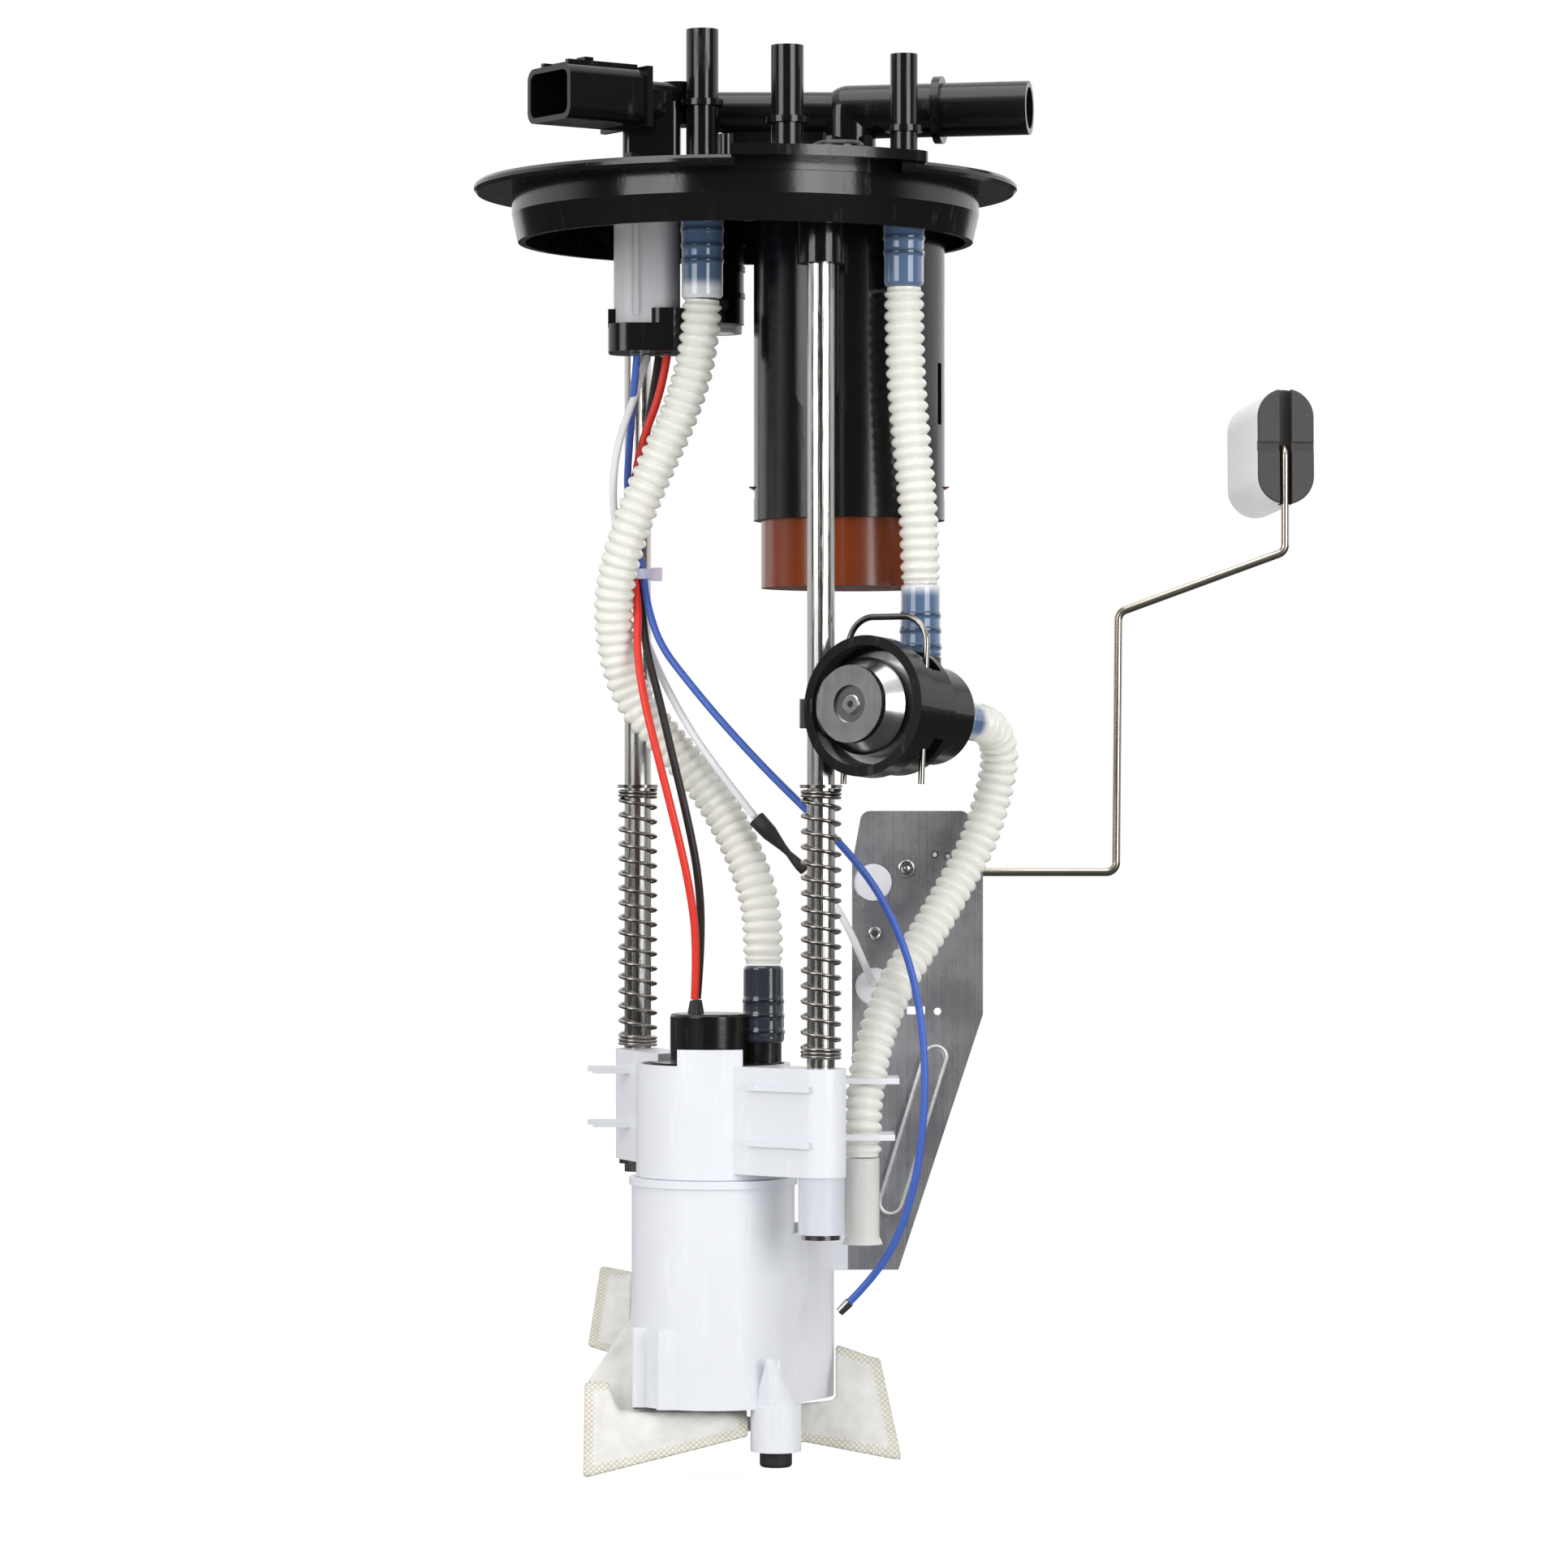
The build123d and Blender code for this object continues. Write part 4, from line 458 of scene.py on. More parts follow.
def makeCuffMaterial(label, inner, outer):
    # clear hose wall over a dark barb: the barb shows inside, the wall shows at the rim
    coat = {"Coat_Weight": 0.7, "Coat_Roughness": 0.06}
    made = plastic(label, outer, 0.14, mottle=0.12, grain=0.1, bump=0.08, **coat)
    tree = made.node_tree
    surface = tree.nodes["Principled BSDF"]
    rim = addNode(tree, "ShaderNodeLayerWeight", {"Blend": 0.22}).outputs["Facing"]
    edge = addNode(tree, "ShaderNodeMapRange", {"Value": rim, "From Min": 0.25, "From Max": 0.6})
    middle = minus(tree, 1.0, edge.outputs["Result"])
    inside = times(tree, middle, attribute(tree, "barb"))
    shade = timesPlus(tree, attribute(tree, "line"), -0.62, 1.0)
    wall = surface.inputs["Base Color"].links[0].from_socket
    feed(tree, surface, {"Base Color": colourMix(tree, inside, wall, tinted(tree, inner, shade))})
    return made


blueCuff = makeCuffMaterial("blueCuff", (0.1, 0.165, 0.29), (0.74, 0.76, 0.78))
greyCuff = makeCuffMaterial("greyCuff", (0.035, 0.041, 0.055), (0.5, 0.5, 0.48))


def makeFoamMaterial():
    # closed black foam, dark on the front; its finely pitted side is painted pale, a painted highlight for the
    # strong light that falls on it
    dark = (0.062, 0.058, 0.055)
    made = plastic("foamFloat", dark, 0.6, mottle=0.1, grain=0.8, grainScale=1500.0, bump=0.5)
    tree = made.node_tree
    surface = tree.nodes["Principled BSDF"]
    place = objectPlace(tree)
    specks = swing(tree, noiseNode(tree, place, 1700.0, 2.0, 0.6), 0.5, 1.0)
    skin = surface.inputs["Base Color"].links[0].from_socket
    # painted highlight: the side's pale colour stands for strong light on it, not for the foam's own colour
    paintedLitSide = tinted(tree, (0.97, 0.97, 0.99), specks)
    feed(tree, surface, {"Base Color": colourMix(tree, attribute(tree, "front"), paintedLitSide, skin)})
    return made


foamFloat = makeFoamMaterial()

materialNodes = [
    (blackFlange, "flange_cap vapour_elbow"), (brassBlade, "connector_terminals sender_terminal arm_wiper"),
    (rodSteel, "rod_left rod_right pump_shaft"), (springSteel, "spring_rings rod_clips regulator_clip"),
    (blackHolder, "plug_retainer regulator_holder pump_top_cap pump_inlet_body brush_holder pump_impeller"),
    (lightGreyPlug, "harness_plug"), (blackValve, "rollover_valve valve_housing"), (brownCup, "valve_cup"),
    (whiteAcetal, "valve_float pump_holder reservoir_canister strainer_neck sender_housing arm_hub"),
    (clearNatural, "rollover_base"), (platedSteel, "pressure_regulator pump_case crimp_terminal"),
    (tealRubber, "regulator_o_ring"), (ferriteBlock, "pump_magnets"), (carbonBlock, "pump_brushes"),
    (copperWinding, "pump_armature"), (rubberBlack, "pump_sleeve foot_bumper pump_wire_boots"),
    (lilacGuide, "lower_guide"), (plateSteel, "sender_plate"), (ceramicCard, "resistor_card"),
    (armSteel, "float_arm"), (spoutNylon, "drain_spout"), (tieNylon, "wire_tie"),
]
for material, names in materialNodes:
    for nodeName in names.split():
        nodes[nodeName].data.materials.clear()
        nodes[nodeName].data.materials.append(material)
print("materials ready")


def geometryTree(label, **inputs):
    # a tree with number inputs and the material that its end puts on
    tree = bpy.data.node_groups.new(label, "GeometryNodeTree")
    addInput(tree, "Geometry", "Geometry")
    for name, value in inputs.items():
        addInput(tree, name, "Int" if isinstance(value, int) else "Float", value)
    addInput(tree, "Material", "Material")
    tree.interface.new_socket(name="Geometry", in_out="OUTPUT", socket_type="NodeSocketGeometry")
    return tree, tree.nodes.new("NodeGroupInput").outputs, tree.nodes.new("NodeGroupOutput")


def endTree(tree, geometry, given, end):
    # smooth faces, real geometry and the piece's material
    smooth = addNode(tree, "GeometryNodeSetShadeSmooth", {"Geometry": geometry}).outputs[0]
    real = addNode(tree, "GeometryNodeRealizeInstances", {0: smooth}).outputs[0]
    painted = addNode(tree, "GeometryNodeSetMaterial", {"Geometry": real, "Material": given["Material"]})
    feed(tree, end, {0: painted.outputs[0]})


def resampled(tree, curve, step):
    inputs = {"Curve": curve, "Length": step}
    return addNode(tree, "GeometryNodeResampleCurve", inputs, mode="LENGTH").outputs[0]


def tubeAlong(tree, curve, radius, sides):
    # a tube whose radius follows a field
    sized = addNode(tree, "GeometryNodeSetCurveRadius", {"Curve": curve, "Radius": radius}).outputs[0]
    ring = addNode(tree, "GeometryNodeCurvePrimitiveCircle", {"Radius": 1.0, "Resolution": sides}).outputs[0]
    inputs = {"Curve": sized, "Profile Curve": ring, "Fill Caps": True}
    sweep = addNode(tree, "GeometryNodeCurveToMesh", inputs)
    if "Scale" in sweep.inputs:
        feed(tree, sweep, {"Scale": radius})
    return sweep.outputs[0]


def makeCorrugatedTree():
    tree, given, end = geometryTree(
        "corrugatedHose", Pitch=0.0032, Valley=0.0044, Ridge=0.0014, Smooth=0.001, Sides=30
    )
    cut = resampled(tree, given["Geometry"], mathNode(tree, "DIVIDE", given["Pitch"], 10.0))
    along = tree.nodes.new("GeometryNodeSplineParameter").outputs["Length"]
    turns = mathNode(tree, "DIVIDE", along, given["Pitch"])
    wave = mathNode(tree, "ABSOLUTE", mathNode(tree, "SINE", times(tree, turns, math.pi)))
    crest = mathNode(tree, "POWER", wave, 0.7)  # round crests and narrow valleys
    whole = tree.nodes.new("GeometryNodeSplineLength").outputs["Length"]
    nearest = mathNode(tree, "MINIMUM", along, minus(tree, whole, along))
    share = mathNode(tree, "DIVIDE", nearest, given["Smooth"])
    share = clamped(tree, minus(tree, share, 1.0))
    ridge = times(tree, times(tree, crest, share), given["Ridge"])
    plain = times(tree, minus(tree, 1.0, share), 0.0005)
    radius = mathNode(tree, "ADD", mathNode(tree, "ADD", given["Valley"], ridge), plain)
    endTree(tree, tubeAlong(tree, cut, radius, given["Sides"]), given, end)
    return tree


def makeWireTree():
    tree, given, end = geometryTree("plainWire", Radius=0.0012, Step=0.0015, Sides=14)
    cut = resampled(tree, given["Geometry"], given["Step"])
    endTree(tree, tubeAlong(tree, cut, given["Radius"], given["Sides"]), given, end)
    return tree


def makeCoilTree():
    # compression spring with closed turns at both ends, built up from its lowest turn
    tree, given, end = geometryTree(
        "closedCoil", Turns=20.0, Closed=2.5, Radius=0.00575, Wire=0.00055, Height=0.078, Sides=10
    )
    closed, radius = given["Closed"], given["Radius"]
    spiral = addNode(tree, "GeometryNodeCurveSpiral", {
        "Resolution": 26, "Height": 0.0, "Rotations": given["Turns"], "Start Radius": radius,
        "End Radius": radius,
    })
    along = tree.nodes.new("GeometryNodeSplineParameter").outputs["Factor"]
    turn = times(tree, along, given["Turns"])
    thick = times(tree, given["Wire"], 2.04)
    below = times(tree, mathNode(tree, "MINIMUM", turn, closed), thick)
    lastOpen = minus(tree, given["Turns"], closed)
    above = mathNode(tree, "MAXIMUM", minus(tree, turn, lastOpen), 0.0)
    openTurns = minus(tree, lastOpen, closed)
    share = clamped(tree, mathNode(tree, "DIVIDE", minus(tree, turn, closed), openTurns))
    closedHeight = times(tree, times(tree, closed, 2.0), thick)
    room = minus(tree, minus(tree, given["Height"], closedHeight), thick)
    height = timesPlus(tree, above, thick, timesPlus(tree, share, room, below))
    height = mathNode(tree, "ADD", height, given["Wire"])
    position = tree.nodes.new("GeometryNodeInputPosition").outputs[0]
    parts = addNode(tree, "ShaderNodeSeparateXYZ", {0: position}).outputs
    spot = addNode(tree, "ShaderNodeCombineXYZ", {"X": parts["X"], "Y": parts["Y"], "Z": height}).outputs[0]
    lifted = addNode(tree, "GeometryNodeSetPosition", {"Geometry": spiral.outputs[0], "Position": spot})
    endTree(tree, tubeAlong(tree, lifted.outputs[0], given["Wire"], given["Sides"]), given, end)
    return tree


corrugatedTree = makeCorrugatedTree()
wireTree = makeWireTree()
coilTree = makeCoilTree()


def grownPiece(label, source, tree, values, material, place=(0, 0, 0)):
    # runs the tree on the source object and keeps its result as a plain mesh
    modifier = source.modifiers.new("grow", "NODES")
    modifier.node_group = tree
    for name, value in values.items():
        modifier[socketId(tree, name)] = value
    modifier[socketId(tree, "Material")] = material
    mesh = finishedMesh(source)
    source.modifiers.remove(modifier)
    bpy.data.objects.remove(source)
    mesh.name = label
    for vertex in mesh.vertices:
        vertex.co += Vector(place)
    return addObject(label, mesh)


def smoothStep(value):
    value = min(max(value, 0), 1)
    return value * value * (3 - 2 * value)


def lathePiece(label, parts, material, sides=40):
    # closed turned solids; each part is a start, an axis and rows of (distance, radius) and maybe marks
    solid = bmesh.new()
    names = sorted({name for part in parts for row in part["rows"] for marks in row[2:] for name in marks})
    layers = {name: solid.verts.layers.float.new(name) for name in names}
    for part in parts:
        turn = Vector(part["axis"]).to_track_quat("Z", "Y").to_matrix()
        rings = []
        for distance, radius, *marks in part["rows"]:
            ring = []
            for side in range(sides):
                angle = 2 * math.pi * side / sides
                spot = Vector((radius * math.cos(angle), radius * math.sin(angle), distance))
                vertex = solid.verts.new(Vector(part["start"]) + turn @ spot)
                for name, value in marks[0].items() if marks else ():
                    vertex[layers[name]] = value
                ring.append(vertex)
            rings.append(ring)
        skinRings(solid, rings, True)
    bmesh.ops.recalc_face_normals(solid, faces=solid.faces)
    made = meshObject(label, solid)
    made.data.materials.append(material)
    return made


cuffSet = {
    "teeth": (0.0031, 0.0078, 0.0122), "toothWidth": 0.0011, "bulge": 0.00025, "flare": 0.0003,
    "barbEnd": 0.0172, "fade": 0.0035, "step": 0.0003, "rimDrop": 0.0005, "rimLength": 0.0008,
    "startInset": 0.0007, "endInset": 0.0012,
    "flange": {
        "supply": {"start": (-0.0126, -0.008, -0.008), "axis": (0, 0, -1), "length": 0.0233, "radius": 0.006},
        "return": {"start": (0.046, -0.032, -0.008), "axis": (0, 0, -1), "length": 0.0218, "radius": 0.0057,
                   "barbEnd": 0.0225},
        "inlet": {"start": (0.0508, -0.031, -0.1369), "axis": (0, 0, 1), "length": 0.0209, "radius": 0.0057},
        "outlet": {"start": (0.05486, -0.0252, -0.1539), "axis": (0.01236, 0.01765, -0.0015),
                   "length": 0.0216, "radius": 0.0056},
    },
    "pump": {
        "outlet": {"start": (0.0053, -0.008, -0.2493), "axis": (0, 0, 1), "length": 0.0225, "radius": 0.0058,
                   "barbEnd": 0.022},
    },
}


def cuffPart(values):
    # smooth hose end with slight bulges over the barb's teeth
    rows = [(0, values["radius"] - cuffSet["startInset"], {"barb": 1.0, "line": 0.0})]
    count = round(values["length"] / cuffSet["step"])
    barbEnd = values.get("barbEnd", cuffSet["barbEnd"])
    for index in range(count + 1):
        along = values["length"] * index / count
        tooth = 0.0
        for spot in cuffSet["teeth"]:
            tooth = max(tooth, 1 - abs(along - spot) / cuffSet["toothWidth"])
        radius = values["radius"] + cuffSet["bulge"] * smoothStep(tooth * 1.3)
        radius += cuffSet["flare"] * smoothStep(1 - along / cuffSet["barbEnd"])
        edge = min(along, values["length"] - along)
        radius -= cuffSet["rimDrop"] * (1 - smoothStep(edge / cuffSet["rimLength"]))
        fade = smoothStep((barbEnd + cuffSet["fade"] - along) / cuffSet["fade"])
        rows.append((along + 0.00001, radius, {"barb": fade, "line": smoothStep(tooth)}))
    last = values["radius"] - cuffSet["endInset"]
    rows.append((values["length"] + 0.00002, last, {"barb": 0.0, "line": 0.0}))
    return {"start": values["start"], "axis": values["axis"], "rows": rows}


flangeCuffs = lathePiece("flangeCuffs", [cuffPart(item) for item in cuffSet["flange"].values()], blueCuff)
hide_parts("hose_ends")
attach(flangeCuffs, "flange_unit")
pumpCuff = lathePiece("pumpCuff", [cuffPart(cuffSet["pump"]["outlet"])], greyCuff)
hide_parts("pump_hose_end")
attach(pumpCuff, "reservoir")

bootSet = {"start": (0.0028, -0.0126, -0.1832), "end": (0.0178, -0.0142, -0.1994), "gap": 0.0004}
bootAxis = Vector(bootSet["end"]) - Vector(bootSet["start"])
bootLength = bootAxis.length - 2 * bootSet["gap"]
bootRows = [(0, 0.0019), (0.0003, 0.0026), (0.006, 0.0024), (0.0118, 0.0012), (0.0142, 0.00092),
            (0.0165, 0.0013), (0.0192, 0.0016), (bootLength - 0.0003, 0.0015), (bootLength, 0.0011)]
spliceBoot = lathePiece(
    "spliceBoot",
    [{
        "start": Vector(bootSet["start"]) + bootAxis.normalized() * bootSet["gap"], "axis": bootAxis,
        "rows": bootRows,
    }],
    rubberBlack, 28,
)
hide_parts("splice_boot")
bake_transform(spliceBoot)
print("cuffs and boot ready")

floatSet = {
    "at": (0.1614, -0.0726), "behindArm": 0.0012, "yaw": 6.0, "dip": 2.2, "width": 0.0172, "height": 0.0348,
    "length": 0.05, "front": -0.0015, "edge": 0.0007, "back": 0.0012,
    "upright": (0.0019, 0.0046), "level": (0.0014, 0.001), "cutAhead": 0.002, "rim": 0.0006,
}


def stadium(half, straight, steps):
    # points around a slot shape whose long axis is Y
    spots = []
    for end, first in ((1, 0), (-1, math.pi)):
        for part in range(steps + 1):
            turn = math.pi * part / steps + first
            spots.append((half * math.cos(turn), end * straight + half * math.sin(turn)))
    return spots


def floatShape(label, length, front):
    # stadium prism with rounded edges; x across, y up and z from front to back
    solid = bmesh.new()
    half, straight = floatSet["width"] / 2, (floatSet["height"] - floatSet["width"]) / 2
    rows = []
    for side, edge, steps in ((front, floatSet["edge"], 4), (length + front, -floatSet["back"], 5)):
        for part in range(steps + 1):
            turn = math.pi / 2 * part / steps
            rows.append((side + edge * (1 - math.sin(turn)), abs(edge) * (1 - math.cos(turn))))
    rings = []
    for depth, inset in sorted(rows):
        rings.append([solid.verts.new((x, y, depth)) for x, y in stadium(half - inset, straight, 32)])
    skinRings(solid, rings)
    bmesh.ops.recalc_face_normals(solid, faces=solid.faces)
    return meshObject(label, solid)


def cutBox(target, label, low, high):
    # takes a box out of the target
    solid = bmesh.new()
    bmesh.ops.create_cube(solid, size=1)
    for vertex in solid.verts:
        vertex.co = [low[axis] if vertex.co[axis] < 0 else high[axis] for axis in range(3)]
    cutter = meshObject(label, solid)
    modifier = target.modifiers.new("cut", "BOOLEAN")
    modifier.operation = "DIFFERENCE"
    modifier.solver = "EXACT"
    modifier.object = cutter
    cutMesh = finishedMesh(target)
    target.modifiers.remove(modifier)
    target.data = cutMesh
    bpy.data.objects.remove(cutter)


def makeFloat():
    front = floatSet["front"]
    made = floatShape("levelFloat", floatSet["length"], front)
    tall, ahead = floatSet["height"], front - floatSet["cutAhead"]
    wide, deep = floatSet["upright"]
    cutBox(made, "uprightGroove", (-wide, -tall, ahead), (wide, tall, front + deep))
    wide, deep = floatSet["level"]
    cutBox(made, "levelGroove", (-tall, -wide, ahead), (tall, wide, front + deep))
    yaw, dip = math.radians(floatSet["yaw"]), math.radians(floatSet["dip"])
    axis = Vector((-math.sin(yaw) * math.cos(dip), math.cos(yaw) * math.cos(dip), -math.sin(dip)))
    up = (Vector((0, 0, 1)) - axis * axis.z).normalized()
    across = up.cross(axis)
    turn = Matrix((across, up, axis)).transposed()
    mesh = made.data
    slack, inner = 0.00001, floatSet["width"] / 2 - floatSet["rim"]
    mark = mesh.attributes.new("front", "FLOAT", "FACE")
    for polygon, item in zip(mesh.polygons, mark.data):
        middle = polygon.center
        inUpright = abs(middle.x) < floatSet["upright"][0] + slack
        inLevel = abs(middle.y) < floatSet["level"][0] + slack
        onWall = abs(polygon.normal.z) < 0.01 and middle.z < front + floatSet["upright"][1]
        inGroove = onWall and (inUpright or inLevel) and abs(middle.x) < inner
        # 1 marks the dark front and grooves; 0 marks the side, which the foam material paints pale as a
        # painted highlight
        item.value = 1.0 if polygon.normal.z < -0.5 or inGroove else 0.0
    start = Vector((floatSet["at"][0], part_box("float_arm")[0][1] + floatSet["behindArm"], floatSet["at"][1]))
    for vertex in mesh.vertices:
        vertex.co = start + turn @ vertex.co
    mesh.materials.clear()
    mesh.materials.append(foamFloat)
    for polygon in mesh.polygons:
        polygon.use_smooth = False
    return made


levelFloat = makeFloat()
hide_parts("level_float")
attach(levelFloat, "float_arm")
print("float ready")

beadSet = {
    "at": (0.0497, 0.0127, -0.2764), "length": 0.0518, "width": 0.0066, "lean": 72.9, "radius": 0.00062,
}


def makeBeadRim():
    # bright ridge around the plate's pressed bead, a painted highlight along the bead's edge
    turn = math.radians(beadSet["lean"])
    along = Vector((math.cos(turn), 0, math.sin(turn)))
    across = Vector((-math.sin(turn), 0, math.cos(turn)))
    half, straight = beadSet["width"] / 2, (beadSet["length"] - beadSet["width"]) / 2
    points = [Vector(beadSet["at"]) + along * y - across * x for x, y in stadium(half, straight, 12)]
    made, spline = curveObject("beadRoute", "POLY", points)
    spline.use_cyclic_u = True
    sizes = {"Radius": beadSet["radius"], "Step": 0.0008, "Sides": 12}
    return grownPiece("beadRim", made, wireTree, sizes, beadHighlightSteel)


beadRim = makeBeadRim()
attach(beadRim, "reservoir")

canSet = {
    "origin": (0.0508, -0.031, -0.1534), "turn": 35.0, "tip": 4.0, "floor": 0.0352,
    "recess": 0.0052, "hub": 0.003, "hole": 0.001, "rise": 0.0009,
}
canTurn, canTip = math.radians(canSet["turn"]), math.radians(canSet["tip"])
canAxis = Vector((
    -math.sin(canTurn) * math.cos(canTip), -math.cos(canTurn) * math.cos(canTip), math.sin(canTip)
))
canFloor = Vector(canSet["origin"]) + canAxis * canSet["floor"]


def canDisc(label, rows, material, sides=40):
    return lathePiece(label, [{"start": canFloor, "axis": canAxis, "rows": rows}], material, sides)


rise, hub, hole = canSet["rise"], canSet["hub"], canSet["hole"]
# painted shade: a thin dark disc on the can's face stands for the shade in its recess
canRecessShade = canDisc("canRecessShade", [(0.00001, canSet["recess"]), (0.0002, canSet["recess"])], recessShadeSteel)
# painted shade: a black disc on top of the hub stands for the shade inside its hole
canHoleShade = canDisc("canHoleShade", [(rise - 0.0004, hole), (rise + 0.00003, hole)], carbonBlock, 20)
canHub = canDisc("canHub", [(0.0001, hub), (rise * 0.6, hub), (rise, hub - 0.0006)], platedSteel)
for canPiece in (canRecessShade, canHub, canHoleShade):
    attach(canPiece, "flange_unit")

holeSet = {
    "front": 0.0143, "depth": 0.0006,
    "spots": [(0.0379, -0.2028, 0.0056), (0.0384, -0.2337, 0.0056), (0.0562, -0.1946, 0.0008),
              (0.0601, -0.1951, 0.0008)],
}
holeFills = lathePiece(
    "holeFills",
    [{
        "start": (x, holeSet["front"], z), "axis": (0, 1, 0),
        "rows": [(0, radius - 0.0002), (0.0001, radius), (holeSet["depth"], radius)],
    } for x, z, radius in holeSet["spots"]],
    whiteAcetal,
)
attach(holeFills, "reservoir")

# a headed rivet with a dished top, and a rolled eyelet
rivetRows = {
    (0.0478, -0.1987): [(0, 0.0015), (0.0015, 0.0015), (0.0016, 0.0026), (0.0019, 0.0027), (0.0023, 0.0023),
                        (0.0024, 0.0018), (0.0021, 0.0013), (0.0022, 0.0008), (0.0024, 0.0003)],
    (0.0384, -0.218): [(0, 0.0014), (0.0015, 0.0014), (0.0016, 0.002), (0.0018, 0.0021), (0.0022, 0.0018),
                       (0.0022, 0.0013), (0.0018, 0.0011), (0.0009, 0.001)],
}
rivetHeads = lathePiece(
    "rivetHeads",
    [{"start": (x, 0.0155, z), "axis": (0, -1, 0), "rows": rows} for (x, z), rows in rivetRows.items()],
    brightRivet,
)
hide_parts("sender_rivets")
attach(rivetHeads, "reservoir")

